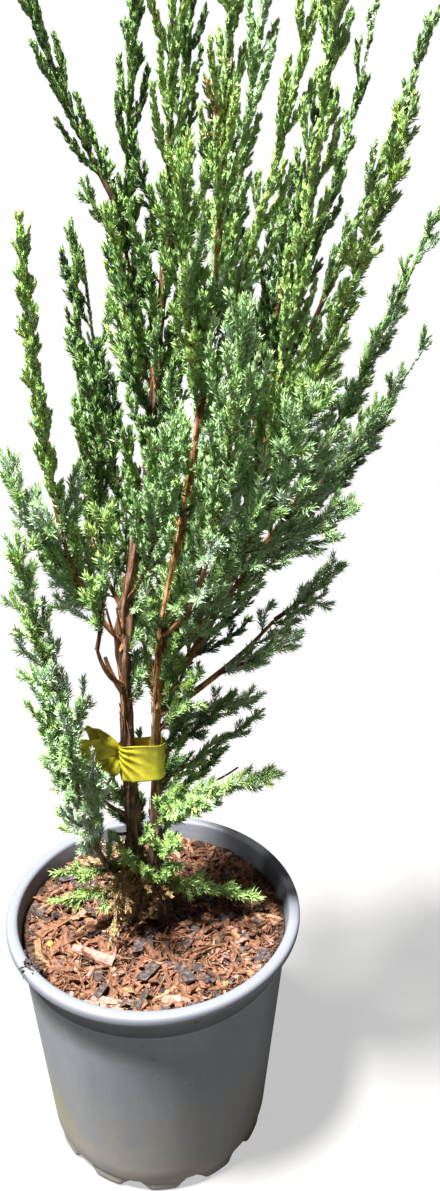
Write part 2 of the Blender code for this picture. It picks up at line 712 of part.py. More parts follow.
def make_tie_band(group):
    """The band: an upright strip round both stems, given its thickness by Solidify."""
    outline = band_outline(TIE_RADIUS)
    rows = [[point + Vector((0, 0, height)) for point in outline] for height in (TIE_LOW, TIE_HIGH)]
    count = len(outline)
    faces = [(i, (i + 1) % count, count + (i + 1) % count, count + i) for i in range(count)]
    mesh = bpy.data.meshes.new("tie_band")
    mesh.from_pydata([tuple(point) for row in rows for point in row], [], faces)
    band = add_object("tie_band", mesh, group, "tie")
    solidify = band.modifiers.new("tape thickness", "SOLIDIFY")
    solidify.thickness = TIE_THICKNESS
    solidify.offset = 1.0
    return band


def make_tie_tail(group):
    """The tail: a waving strip whose end is pinched and lifted."""
    line = tail_line()
    vertices = []
    for index, point in enumerate(line):
        part = index / (len(line) - 1)
        half = (TIE_HIGH - TIE_LOW) / 2 * (0.55 + 0.45 * math.sin(math.pi * min(1.0, part * 1.4)) ** 2)
        lean = 5 * MM * math.sin(part * 5.0)
        vertices.append(point + Vector((0, -lean * 0.4, -half)))
        vertices.append(point + Vector((0, lean * 0.4, half)))
    faces = [(2 * i, 2 * i + 1, 2 * i + 3, 2 * i + 2) for i in range(len(line) - 1)]
    mesh = bpy.data.meshes.new("tie_tail")
    mesh.from_pydata([tuple(vertex) for vertex in vertices], [], faces)
    tail = add_object("tie_tail", mesh, group, "tie")
    solidify = tail.modifiers.new("tape thickness", "SOLIDIFY")
    solidify.thickness = TIE_THICKNESS
    solidify.offset = 0.0
    return tail


# --- the whole plant ---------------------------------------------------------

def main():
    clear_scene()
    plant = new_collection("rocky mountain juniper")
    cutters = new_collection("cutters")
    make_pot(plant, cutters)
    make_mix(plant)
    limbs = grow_limbs()
    for name, limb in limbs.items():
        make_limb(name, limb, plant, 2 if name in LEADERS else 1)
    make_tie_band(plant)
    make_tie_tail(plant)
    axes = {row[0]: mass_axis(limbs, row) for row in FOLIAGE}
    spaces = Spaces(limbs, axes)
    for row in FOLIAGE:
        make_mass(row, axes[row[0]], spaces, plant)


main()
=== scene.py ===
"""Rocky mountain juniper in its nursery pot, dressed for the render.

Units are metres, +Z is up, and the origin is the centre of the pot's flat underside, as in the CAD.
The limbs, and the stem of each mass of foliage, come from the same tables and the same rule as the
part's source. Here the rule goes on: each stem carries twigs, each twig carries sprigs and spurs,
and all of them carry leaves. The tables hold millimetres.
"""
import json
import math
import random
from collections import namedtuple

import bpy
import numpy as np
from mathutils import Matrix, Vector

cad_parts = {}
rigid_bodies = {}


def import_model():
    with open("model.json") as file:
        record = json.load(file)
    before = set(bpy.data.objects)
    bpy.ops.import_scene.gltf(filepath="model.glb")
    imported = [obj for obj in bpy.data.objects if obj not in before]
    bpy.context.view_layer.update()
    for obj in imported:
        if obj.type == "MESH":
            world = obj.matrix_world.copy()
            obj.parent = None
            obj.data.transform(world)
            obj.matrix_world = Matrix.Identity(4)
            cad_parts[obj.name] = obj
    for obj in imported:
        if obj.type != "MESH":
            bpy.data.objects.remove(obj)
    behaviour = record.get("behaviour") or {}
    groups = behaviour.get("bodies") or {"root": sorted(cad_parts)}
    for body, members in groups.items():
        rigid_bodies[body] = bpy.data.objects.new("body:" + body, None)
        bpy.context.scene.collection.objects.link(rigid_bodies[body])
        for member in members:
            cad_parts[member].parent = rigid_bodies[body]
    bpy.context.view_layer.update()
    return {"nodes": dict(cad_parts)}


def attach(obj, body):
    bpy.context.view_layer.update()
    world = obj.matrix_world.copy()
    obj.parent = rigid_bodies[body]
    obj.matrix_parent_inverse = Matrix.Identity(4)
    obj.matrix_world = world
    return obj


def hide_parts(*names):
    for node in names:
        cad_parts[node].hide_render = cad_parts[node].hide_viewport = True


MM = 0.001
SEED = 41
GOLDEN = math.radians(137.5)

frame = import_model()

# --- camera and light ------------------------------------------------------
CAMERA_PLACE = Vector((0.0, -0.585, 0.715))
CAMERA_PITCH = math.radians(22.6)      # looks down
CAMERA_YAW = math.radians(5.1)         # and a little to the right
LEVEL = math.cos(CAMERA_PITCH)
FORWARD = np.array((math.sin(CAMERA_YAW) * LEVEL, math.cos(CAMERA_YAW) * LEVEL, -math.sin(CAMERA_PITCH)))
RIGHT = np.array((math.cos(CAMERA_YAW), -math.sin(CAMERA_YAW), 0.0))
LENS = 28.0
SENSOR = 36.0
FRAME = (440, 1191)                    # the photograph's width and height in pixels
SUN_FROM = Vector((-0.302, -0.161, 0.940))
SUN_STRENGTH = 17.0
SUN_WIDTH = math.radians(8.0)
SUN_COLOUR = (1.0, 0.975, 0.93)
SKY_STRENGTH = 0.13                    # light from all round
FLOOR_GLOW = 0.52                      # keeps the shadow on the floor pale
SKY_COLOUR = (1.0, 0.97, 0.93, 1.0)
WHITE = (1.0, 1.0, 1.0, 1.0)
FLOOR_REACH = 750 * MM
FLOOR_GREYS = ((0.3, (0.10, 0.10, 0.10)), (0.7, (0.11, 0.11, 0.11)))

# --- pot -------------------------------------------------------------------
POT_HEIGHT = 210 * MM
RIM_RADIUS = 115 * MM
RIM_ROLL = 4.6 * MM
RIM_SQUARENESS = 0.72                  # 1 is a round roll; less is squarer, with a flatter top
WALL_TOP_RADIUS = 104.5 * MM
WALL_FOOT_RADIUS = 89 * MM
WALL = 1.8 * MM
FOOT_RADIUS = 88 * MM
BASE_DISC_RADIUS = 59 * MM
CHANNEL_DEPTH = 6 * MM
FLOOR = 3 * MM
LOBES = 12                             # feet round the underside, with notches between them
NOTCH_SHARE = 0.26
NOTCH_TOP = 10.5 * MM
NOTCH_RISE = 8.5 * MM
NOTCH_DEPTH = 3.0 * MM
LINE_HEIGHT = 181 * MM
POT_STEPS = 240
DRAINS = 6
DRAIN_RADIUS = 5 * MM
SHARP_ANGLE = math.radians(38)         # edges of the pot that turn more than this stay crisp
# The pot's section: distances out from the wall's top and up from the rim or the raised line, heights
# down the wall, and distances out from the foot with heights.
RIM_NECK = ((1.4, -9.0), (0.6, -10.5))
RAISED_LINE = ((0.2, 1.8), (0.7, 1.1), (0.9, 0.0), (0.4, -1.0), (-0.2, -1.8))
WALL_HEIGHTS = (150, 115, 80, 45, 26, 13.5)
FOOT_OUTLINE = ((0.9, 10.5), (0.6, 8.0), (0.5, 4.5), (0.3, 1.4), (-0.6, 0.0), (-4.0, 0.0))
POT_GREYS = ((0.32, (0.158, 0.174, 0.202)), (0.55, (0.190, 0.207, 0.234)), (0.75, (0.230, 0.244, 0.264)))

# --- potting mix -----------------------------------------------------------
SOIL = 194 * MM                        # the mulch's level at the stems
SOIL_EDGE = 193 * MM                   # and at the wall, where the source's mix is at 189 mm
SOIL_PATCH = 30 * MM                   # level ground round the stems
SOIL_SLOPE = 72 * MM                   # from there to the wall
SURFACE_RADIUS = 103.2 * MM
SURFACE_RINGS = 34
SURFACE_STEPS = 120
MULCH_REACH = 101 * MM                 # no chip goes farther out
# Colours of the mix under the chips: its own dark brown, darkened further as painted shade in the gaps
# between chips.
EARTH_AND_GAP_SHADE = ((0.30, (0.008, 0.005, 0.003)), (0.50, (0.034, 0.018, 0.010)), (0.68, (0.100, 0.052, 0.030)),
         (0.80, (0.19, 0.11, 0.07)))
FEED = ((0.3, (0.50, 0.33, 0.05)), (0.7, (0.62, 0.45, 0.10)))
DEBRIS_COUNT = 90
DEBRIS_PLACE = np.array((-91.0, -58.0, 209.0)) * MM
DEBRIS_SPREAD = np.array((3.6, 5.0, 2.2)) * MM
PELLET_PLACE = np.array((-80.0, -26.0, 198.5)) * MM
PELLET_RADIUS = 2.4 * MM
CHOSEN_THICKNESS = 3.0 * MM
# Strewn chips: kind, number, least and most of length, width and thickness, how far they tilt, and
# their colour in its dull, common and pale places.
CHIPS = (
    ("brown", 470, (9, 1.6, 0.8), (29, 6.0, 3.0), 0.38,
     (0.050, 0.019, 0.009), (0.150, 0.065, 0.035), (0.30, 0.152, 0.092)),
    ("tan", 125, (8, 1.4, 0.8), (28, 4.6, 2.4), 0.42,
     (0.11, 0.052, 0.025), (0.29, 0.150, 0.082), (0.48, 0.30, 0.18)),
    ("dark", 110, (9, 3, 1.2), (22, 8, 3.6), 0.34,
     (0.012, 0.009, 0.009), (0.050, 0.037, 0.035), (0.14, 0.11, 0.105)),
    ("pale", 100, (6, 1.4, 0.6), (22, 5, 2.4), 0.42,
     (0.15, 0.075, 0.055), (0.31, 0.170, 0.137), (0.47, 0.30, 0.255)),
    ("fibres", 1300, (6, 0.4, 0.4), (24, 1.3, 0.9), 0.30,
     (0.070, 0.025, 0.011), (0.19, 0.082, 0.040), (0.37, 0.20, 0.115)),
    ("crumbs", 2600, (1.2, 0.8, 0.6), (4.0, 2.2, 1.6), 0.5,
     (0.012, 0.006, 0.003), (0.075, 0.032, 0.017), (0.26, 0.135, 0.080)),
)
# Large chips: kind, x, y, length, width, lift, turn in degrees.
CHOSEN_CHIPS = (
    ("pale", -46, -41, 42, 8, 4.5, -30),
    ("pale", -33, -86, 46, 10, 3.0, -14),
    ("pale", 12, -88, 22, 7, 3.5, 10),
    ("brown", -78, -8, 30, 8, 4.0, 38),
    ("brown", -66, -22, 34, 9, 4.5, 24),
    ("dark", -5, -60, 20, 11, 4.5, 50),
    ("dark", 21, -64, 24, 9, 5.0, -70),
    ("dark", -70, 50, 24, 12, 4.5, 10),
    ("dark", -12, -34, 16, 9, 4.0, 80),
    ("dark", -40, 30, 22, 10, 4.0, -20),
    ("pale", 60, 24, 20, 8, 4.5, 30),
    ("pale", 78, 8, 16, 7, 4.0, -40),
)

# --- yellow tie ------------------------------------------------------------
TIE_LOW = 328 * MM
TIE_HIGH = 359 * MM
TIE_CENTRES = (np.array((-15.0, 0.0)) * MM, np.array((5.0, -2.0)) * MM)
TIE_RADIUS = 5.5 * MM
TIE_ROOM = 19 * MM                     # kept clear round the tie
TAPE_THICKNESS = 0.25 * MM
BAND_GRID = (361, 29)                  # points round the band, and up it
TAIL_GRID = (41, 11)                   # points along a tail, and across it
GATHERED = 0.22                        # share of the way round over which the gather fades
TAPE_YELLOWS = ((0.3, (0.54, 0.47, 0.022)), (0.55, (0.68, 0.61, 0.04)), (0.8, (0.80, 0.74, 0.10)))
# Tails: where each one ends, and half its width.
TAIL_ENDS = ((-55, -6, 364, 9), (-66, -8, 360, 6), (-44, -2, 372, 7), (-39, -7, 335, 6))

# --- growth ----------------------------------------------------------------
KNOT_HEIGHT = 446 * MM                 # where the trunk is thickened and twisted
KNOT_REACH = 26 * MM
KNOT_SWELL = 0.38
FLARE_HEIGHT = 9 * MM                  # how soon a leader's flare at the soil is lost
ROOTED = 4 * MM                        # how far the bark goes on into the mulch
BARK_STRIPS = 7                        # sets of ridges laid over each other
FLAKES = 150                           # loose strips of bark on each leader
STEM_RADIUS = 1.7 * MM
STEM_TIP_RADIUS = 0.8 * MM
BARE_SHARE = 0.10                      # of a shoot, from its root, without leaves
FORKED_SPRIG = 8.5 * MM                # a longer sprig carries a spur
TWIG_ROOM = 2.0 * MM                   # kept clear round a twig, and round a sprig
SPRIG_ROOM = 0.8 * MM
AXIS_STEPS = 8
LEADER_STEPS = 2
BOUGH_STEPS = 5
LAP = 5 * MM                           # how far twigs of neighbouring masses may mingle

# Leaders: the way each one goes, and its radius at the soil, above the flare and at its tip.
LEADERS = {
    "trunk": (
        ((-9, 5, 194.3), (-9.5, 5, 204), (-14, 3, 268), (-15, 0, 345), (-15, 1, 432), (-9, 5, 482),
         (4, 10, 551), (12, 15, 615), (18, 20, 669), (22, 21, 705)),
        (8.2, 4.9, 1.9)),
    "leader_right": (
        ((7, -2, 194.3), (6.5, -2, 203), (3, -1, 250), (5, -2, 345), (10, -9, 436), (21, -20, 505),
         (32, -30, 567), (40, -35, 623), (46, -37, 672)),
        (6.4, 4.3, 1.8)),
}

# Bark, from its cracks to its lit ridges: of the trunk, of the rest, and old bark of either low down.
DARK_BARK = ((0.34, (0.020, 0.011, 0.007)), (0.47, (0.100, 0.052, 0.031)), (0.58, (0.26, 0.145, 0.088)),
             (0.72, (0.50, 0.35, 0.26)))
WARM_BARK = ((0.34, (0.060, 0.024, 0.009)), (0.46, (0.27, 0.115, 0.045)), (0.58, (0.54, 0.285, 0.125)),
             (0.72, (0.74, 0.53, 0.33)))
GREY_BARK = ((0.34, (0.022, 0.013, 0.009)), (0.47, (0.125, 0.078, 0.052)), (0.58, (0.30, 0.21, 0.15)),
             (0.72, (0.52, 0.42, 0.34)))
TWIG_BARK = ((0.3, (0.05, 0.02, 0.008)), (0.5, (0.15, 0.062, 0.022)), (0.7, (0.27, 0.13, 0.05)))
GREEN_TWIGS = ((0.35, (0.09, 0.13, 0.03)), (0.65, (0.21, 0.24, 0.06)))

# Boughs: name, limb that carries it, height where it leaves, tip, sweep, radius at root and tip.
BOUGHS = (
    ("leader_back", "leader_right", 398, (94, 48, 650), 0.9, 3.6, 1.8),
    ("bough_left_low", "trunk", 226, (-54, -27, 400), 1.0, 3.0, 1.6),
    ("bough_left_middle", "trunk", 404, (-32, -27, 446), 0.5, 2.3, 1.4),
    ("bough_left_high", "trunk", 436, (-53, -4, 526), 0.5, 2.6, 1.5),
    ("bough_left_back", "trunk", 458, (-37, 42, 506), 0.3, 2.4, 1.5),
    ("bough_upper_left", "trunk", 612, (-8, 42, 716), 0.1, 2.0, 1.4),
    ("bough_right_low", "leader_right", 380, (90, -3, 452), 0.2, 3.0, 1.5),
    ("bough_right_middle", "leader_right", 424, (92, -8, 524), 0.2, 2.6, 1.5),
    ("bough_right_high", "leader_right", 492, (82, -34, 570), 0.2, 2.4, 1.4),
    ("bough_right_back", "leader_back", 470, (112, 24, 540), 0.2, 2.2, 1.4),
    ("bough_right_top", "leader_back", 560, (108, 12, 640), 0.2, 2.0, 1.3),
    ("bough_back_left", "trunk", 420, (-10, 68, 500), 0.4, 2.6, 1.5),
    ("bough_back_right", "leader_back", 490, (84, 92, 560), 0.3, 2.4, 1.5),
    ("bough_front", "leader_right", 446, (40, -62, 524), 0.4, 2.5, 1.5),
)

# Foliage: name, limb, height where its stem leaves (None is the limb's tip), tip, sweep,
# length of its lowest side twigs, palette, habit.
FOLIAGE = (
    ("foliage_left_peak", "bough_upper_left", None, (-68, 50, 868), 0.2, 44, "dark", "cord"),
    ("foliage_left_wand", "bough_left_high", None, (-63, -12, 712), 0.6, 24, "bright", "rope"),
    ("foliage_left_spire", "bough_left_back", None, (-37, 52, 710), 0.3, 22, "dark", "cord"),
    ("foliage_left_arm", "bough_left_high", 476, (-86, 2, 570), 0.3, 31, "pale", "awl"),
    ("foliage_low_left_outer", "bough_left_low", None, (-79, -22, 526), 0.5, 30, "pale", "awl"),
    ("foliage_low_left", "bough_left_low", 330, (-68, -34, 436), 0.9, 30, "pale", "awl"),
    ("foliage_left_plume", "bough_left_middle", None, (-20, -34, 546), 0.4, 28, "bright", "awl"),
    ("foliage_left_inner", "bough_left_back", 486, (-27, 28, 622), 0.4, 40, "dark", "plume"),
    ("foliage_left_upper", "trunk", 588, (-12, 30, 712), 0.4, 46, "bright", "plume"),
    ("foliage_top_left", "bough_upper_left", 690, (10, 42, 884), 0.0, 40, "dark", "cord"),
    ("foliage_top_centre", "trunk", None, (30, 6, 902), 0.1, 50, "bright", "cord"),
    ("foliage_top_back", "trunk", 668, (46, 62, 900), 0.3, 44, "dark", "cord"),
    ("foliage_top_front", "leader_right", None, (62, -22, 908), 0.0, 50, "bright", "cord"),
    ("foliage_top_inner", "leader_right", 636, (86, 18, 886), 0.2, 46, "blue", "cord"),
    ("foliage_top_right", "leader_right", 612, (103, -34, 838), 0.2, 44, "bright", "cord"),
    ("foliage_top_right_front", "bough_right_high", 556, (108, -58, 846), 0.3, 42, "bright", "cord"),
    ("foliage_top_right_back", "leader_back", None, (134, 46, 864), 0.1, 36, "dark", "cord"),
    ("foliage_peak_right", "leader_back", 618, (160, 76, 852), 0.3, 30, "dark", "cord"),
    ("foliage_right_peak", "bough_right_top", None, (176, 4, 822), 0.1, 29, "blue", "cord"),
    ("foliage_right_front", "bough_right_high", None, (152, -44, 772), 0.2, 32, "bright", "plume"),
    ("foliage_right_back", "bough_right_back", None, (194, 32, 718), 0.1, 27, "blue", "plume"),
    ("foliage_right_arm", "bough_right_middle", None, (182, -10, 644), 0.2, 30, "blue", "plume"),
    ("foliage_right_arm_back", "bough_right_back", 500, (177, 48, 590), 0.3, 27, "dark", "plume"),
    ("foliage_right_middle", "bough_right_middle", 500, (130, -36, 546), 0.3, 33, "blue", "awl"),
    ("foliage_right_low", "bough_right_low", None, (138, 12, 486), 0.2, 23, "pale", "awl"),
    ("foliage_right_lower", "bough_right_low", 412, (106, -20, 450), 0.2, 24, "pale", "awl"),
    ("foliage_right_wisp", "leader_right", 371, (88, 30, 376), 0.2, 24, "pale", "awl"),
    ("foliage_juvenile", "leader_right", 284, (92, -32, 346), -0.3, 22, "juvenile", "soft"),
    ("foliage_ground_right", "leader_right", 232, (84, -8, 214), 0.2, 14, "shaded", "soft"),
    ("foliage_front_left", "trunk", 468, (16, -58, 600), 0.6, 60, "blue", "plume"),
    ("foliage_front_centre", "bough_front", None, (57, -82, 664), 0.4, 60, "blue", "plume"),
    ("foliage_front_right", "bough_front", 496, (92, -80, 622), 0.6, 60, "blue", "awl"),
    ("foliage_front_high", "leader_right", 600, (26, -56, 742), 0.4, 54, "bright", "plume"),
    ("foliage_back_left", "bough_back_left", None, (-34, 102, 690), 0.4, 60, "dark", "plume"),
    ("foliage_back_centre", "bough_back_left", 476, (26, 112, 620), 0.5, 56, "dark", "plume"),
    ("foliage_back_right", "bough_back_right", None, (112, 122, 730), 0.4, 60, "dark", "plume"),
    ("foliage_back_high", "leader_back", 560, (60, 108, 800), 0.4, 56, "dark", "plume"),
    ("foliage_back_low", "bough_back_right", 526, (140, 96, 620), 0.4, 52, "dark", "awl"),
    ("foliage_foot_left", "trunk", 242, (-74, -22, 262), 0.2, 11, "shaded", "awl"),
    ("foliage_foot_dry", "trunk", 262, (-30, -34, 206), 0.9, 20, "dry", "withered"),
)

# Single shoots seen beside the masses, in the same columns.
SHOOTS = (
    ("shoot_right_dark", "leader_right", 322, (84, 10, 373), 0.2, 15, "pale", "awl"),
    ("shoot_right_darker", "leader_right", 344, (62, -8, 400), 0.2, 15, "dark", "awl"),
    ("shoot_right_small", "leader_right", 300, (56, 6, 344), 0.2, 12, "shaded", "awl"),
    ("shoot_right_bright", "leader_right", 366, (36, -26, 428), 0.3, 16, "bright", "awl"),
    ("shoot_low_front", "bough_left_low", 340, (-50, -84, 436), 0.4, 20, "pale", "awl"),
    ("shoot_low_front_inner", "bough_left_low", 300, (-36, -70, 396), 0.4, 17, "pale", "awl"),
    ("shoot_front_right", "leader_right", 300, (39, -56, 340), 0.2, 14, "juvenile", "awl"),
    ("shoot_front_right_foot", "leader_right", 262, (19, -52, 308), 0.2, 12, "shaded", "awl"),
    ("shoot_behind_tie", "trunk", 286, (-6, 28, 350), 0.2, 14, "dark", "awl"),
    ("shoot_behind_foot", "trunk", 240, (-7, 22, 296), 0.2, 12, "dark", "awl"),
    ("shoot_foot_left", "trunk", 226, (-74, -30, 242), 0.1, 10, "shaded", "awl"),
    ("shoot_foot_right", "leader_right", 238, (19, -32, 272), 0.1, 12, "shaded", "awl"),
    ("shoot_foot_front", "trunk", 246, (-20, -28, 280), 0.2, 10, "shaded", "awl"),
    ("shoot_foot_middle", "leader_right", 232, (-6, -26, 264), 0.2, 9, "shaded", "awl"),
    ("shoot_dead", "leader_right", None, (57, -24, 792), 0.1, 7, "dead", "dead"),
    ("shoot_dead_tuft", "foliage_top_front", 748, (43, -32, 778), 0.0, 5, "dead", "withered"),
)

# Bare twigs and cut stubs: limb, height, tip, radius.
STUBS = (
    ("trunk", 428, (-25.5, -6, 466), 1.1),
    ("trunk", 438, (-18.5, -6, 466), 1.0),
    ("trunk", 396, (-28, -5, 429), 1.8),
    ("trunk", 292, (-36, -13, 320), 1.5),
    ("trunk", 276, (-30, -17, 292), 1.2),
    ("leader_right", 302, (66, 2, 330), 0.9),
    ("leader_right", 286, (44, -8, 318), 0.8),
    ("leader_right", 398, (23, -16, 412), 1.0),
)

# How each habit grows: spacing of the twigs on a stem and their slant; spacing, length and slant of
# the sprigs; then the leaves' length, width, spread, number in a whorl and spacing of whorls.
Habit = namedtuple("Habit", "twigs slant sprigs sprig sprig_slant leaf width spread whorl pitch")
HABITS = {
    "cord": Habit(11.0, 25, 2.0, 8.0, 27, 4.3, 2.3, 16, 3, 1.9),
    "rope": Habit(6.5, 24, 1.8, 9.5, 27, 4.3, 2.2, 18, 3, 1.8),
    "plume": Habit(7.5, 30, 4.2, 12.0, 34, 5.4, 1.7, 29, 3, 1.6),
    "awl": Habit(6.5, 36, 8.0, 16.0, 38, 6.6, 1.35, 40, 3, 1.45),
    "soft": Habit(4.5, 40, 8.0, 11.0, 42, 7.2, 1.4, 50, 3, 1.25),
    "withered": Habit(4.5, 40, 3.4, 10.0, 45, 3.6, 1.2, 28, 2, 1.9),
    "dead": Habit(9.0, 25, 4.0, 4.0, 30, 3.4, 1.2, 24, 2, 1.9),
}

# Sprays on the limbs themselves: limb, lowest and highest place, spacing, length, slant, palette,
# habit.
LIMB_SPRAYS = (
    ("bough_left_low", 256, 400, 6, 38, 44, "pale", "awl"),
    ("bough_left_middle", 412, 446, 6, 36, 44, "blue", "awl"),
    ("bough_left_high", 450, 526, 4, 38, 44, "pale", "awl"),
    ("bough_left_high", 452, 525, 3, 20, 40, "pale", "awl"),
    ("bough_left_back", 462, 506, 7, 42, 44, "dark", "plume"),
    ("bough_upper_left", 620, 716, 7, 40, 40, "dark", "plume"),
    ("bough_right_low", 428, 452, 8, 32, 46, "blue", "awl"),
    ("bough_right_middle", 432, 524, 7, 36, 44, "blue", "plume"),
    ("bough_right_high", 500, 570, 6, 38, 44, "blue", "plume"),
    ("bough_right_back", 476, 540, 8, 34, 44, "dark", "plume"),
    ("bough_right_top", 566, 640, 8, 34, 40, "dark", "plume"),
    ("bough_back_left", 426, 500, 7, 42, 44, "dark", "plume"),
    ("bough_back_right", 496, 560, 7, 42, 44, "dark", "plume"),
    ("bough_front", 456, 524, 6, 40, 44, "blue", "awl"),
    ("leader_back", 410, 650, 6, 44, 44, "dark", "plume"),
    ("leader_right", 396, 672, 6, 44, 44, "blue", "plume"),
    ("trunk", 478, 705, 6, 44, 44, "dark", "plume"),
    ("leader_right", 250, 330, 6, 30, 52, "shaded", "awl"),
    ("leader_right", 296, 372, 12, 40, 50, "dark", "awl"),
    ("leader_right", 372, 520, 4, 24, 46, "bright", "awl"),
    ("leader_right", 372, 560, 4, 40, 46, "shaded", "awl"),
    ("trunk", 376, 480, 5, 26, 50, "blue", "awl"),
    ("trunk", 240, 320, 6, 28, 56, "shaded", "awl"),
    ("trunk", 208, 266, 1.0, 50, 136, "dry", "withered"),
    ("leader_right", 212, 250, 4, 32, 126, "dry", "withered"),
)

# What the photograph leaves open, in its 440 x 1191 pixels: boxes of sky (left, top, right, bottom),
# and the stretches of stem, between two heights, that nothing hides.
OPEN_SKY = ((105, 572, 119, 650), (100, 660, 119, 704), (139, 708, 150, 732), (252, 285, 262, 300),
            (124, 752, 160, 792), (84, 730, 116, 764), (84, 222, 103, 335), (40, 225, 50, 380),
            (84, 634, 104, 676), (418, 62, 440, 196), (408, 262, 440, 322), (405, 352, 440, 700),
            (362, 470, 440, 700), (372, 12, 410, 42), (360, 46, 386, 74))
STEM_SUN_ROOM = 5.5 * MM               # kept clear between those stems and the sun
SUN_ROOM = 8.0 * MM                    # kept clear between the sunlit places below and the sun
SUN_REACH = 120 * MM
SUNLIT_PLACES = ((-18, -8, 350), (-10, -9, 350), (-2, -9, 350), (6, -9, 350), (13, -8, 350),
                 (-14, -8, 336), (-4, -9, 336), (8, -9, 336))
# Limb, lowest and highest place, and how many pixels to each side of it stay open.
SEEN_STEMS = (("leader_right", 366, 612, 6.0), ("trunk", 366, 500, 7.5))

# Shades of leaf, dealt out by spray. The palettes also paint light and shade on whole masses: "bright"
# paints sunlit masses in lighter, yellower greens, "dark" and "shaded" paint masses that stand in shadow in
# darker greens, and "pale" adds painted light to the low masses over the needles' own bluish bloom.
PALETTES = {
    "bright": (("lime", 0.14), ("fresh", 0.36), ("green", 0.33), ("bluish", 0.17)),
    "blue": (("bluish", 0.50), ("green", 0.20), ("frost", 0.14), ("fresh", 0.16)),
    "pale": (("bluish", 0.42), ("frost", 0.38), ("fresh", 0.20)),
    "dark": (("deep", 0.50), ("green", 0.42), ("bluish", 0.08)),
    "juvenile": (("lime", 0.15), ("fresh", 0.55), ("bluish", 0.30)),
    "shaded": (("deep", 0.20), ("green", 0.50), ("fresh", 0.30)),
    "dry": (("tan", 1.0),),
    "dead": (("rust", 1.0),),
}
TIP_SHADES = {"bright": "fresh", "blue": "bluish", "pale": "bluish", "dark": "green", "juvenile": "bluish",
              "shaded": "fresh", "dry": "tan", "dead": "rust"}
LEAF_SHADES = {                        # two base colours that a leaf's surface ranges between
    "lime": ((0.38, 0.54, 0.11), (0.60, 0.74, 0.26), "foliage_bright"),
    "fresh": ((0.31, 0.50, 0.14), (0.52, 0.70, 0.28), "foliage_bright"),
    "green": ((0.17, 0.32, 0.090), (0.34, 0.52, 0.19), "foliage_dark"),
    "bluish": ((0.28, 0.45, 0.20), (0.50, 0.70, 0.37), "foliage_blue_green"),
    "frost": ((0.50, 0.66, 0.49), (0.76, 0.87, 0.75), "foliage_blue_green"),
    # deep is the darkest green, dealt out mostly where masses are painted in shade
    "deep": ((0.046, 0.100, 0.040), (0.12, 0.21, 0.085), "foliage_dark"),
    "tan": ((0.36, 0.23, 0.10), (0.62, 0.44, 0.23), "foliage_dry"),
    "rust": ((0.20, 0.085, 0.035), (0.48, 0.22, 0.085), "foliage_dry"),
}
MOST_FACES = 190000                    # triangles in one joined piece
LEAF_FACES = ((0, 2, 3), (2, 1, 3), (1, 0, 3))
TURNED = [0, 3, 2, 1]                  # the corners of a quad the other way round


# --- pieces ----------------------------------------------------------------

class Pile:
    """Vertices and faces of many small forms, to be joined into one piece."""

    def __init__(self):
        self.vertices = []
        self.faces = []
        self.count = 0

    def add(self, vertices, faces):
        self.vertices.append(vertices)
        self.faces.append(faces + self.count)
        self.count += len(vertices)


def new_mesh(name, vertices, faces, smooth):
    sides = faces.shape[1]
    mesh = bpy.data.meshes.new(name)
    mesh.vertices.add(len(vertices))
    mesh.vertices.foreach_set("co", vertices.astype(np.float32).ravel())
    mesh.loops.add(faces.size)
    mesh.loops.foreach_set("vertex_index", faces.astype(np.int32).ravel())
    mesh.polygons.add(len(faces))
    mesh.polygons.foreach_set("loop_start", np.arange(0, faces.size, sides, dtype=np.int32))
    mesh.polygons.foreach_set("use_smooth", np.full(len(faces), smooth))
    mesh.update(calc_edges=True)
    return mesh


def linked(name, data):
    """A new object in the scene."""
    thing = bpy.data.objects.new(name, data)
    bpy.context.scene.collection.objects.link(thing)
    return thing


def place(thing, material, slot, *nodes):
    """Give a piece its material, and let it ride with the plant; the slot is not used."""
    thing.data.materials.clear()
    thing.data.materials.append(material)
    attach(thing, "root")
    if nodes:
        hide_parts(*nodes)


def piece_from(pile, name, material, slot, *nodes, smooth=False):
    mesh = new_mesh(name, np.concatenate(pile.vertices), np.concatenate(pile.faces), smooth)
    place(linked(name, mesh), material, slot, *nodes)


def grid_faces(rows, columns, closed=True):
    """Quads between rows of points; a closed grid joins its last column to its first."""
    here = np.arange(columns if closed else columns - 1)
    after = (here + 1) % columns
    base = np.arange(rows - 1)[:, None] * columns
    corners = [base + here, base + after, base + columns + after, base + columns + here]
    return np.stack(corners, axis=2).reshape(-1, 4)


# --- materials -------------------------------------------------------------

def new_node(tree, kind, output, inputs=None, **settings):
    """A new node's output. Each input is a value, or another node's output."""
    node = tree.nodes.new(kind)
    for name, value in settings.items():
        setattr(node, name, value)
    for name, value in (inputs or {}).items():
        if isinstance(value, bpy.types.NodeSocket):
            tree.links.new(value, node.inputs[name])
        else:
            node.inputs[name].default_value = value
    return node.outputs[output]


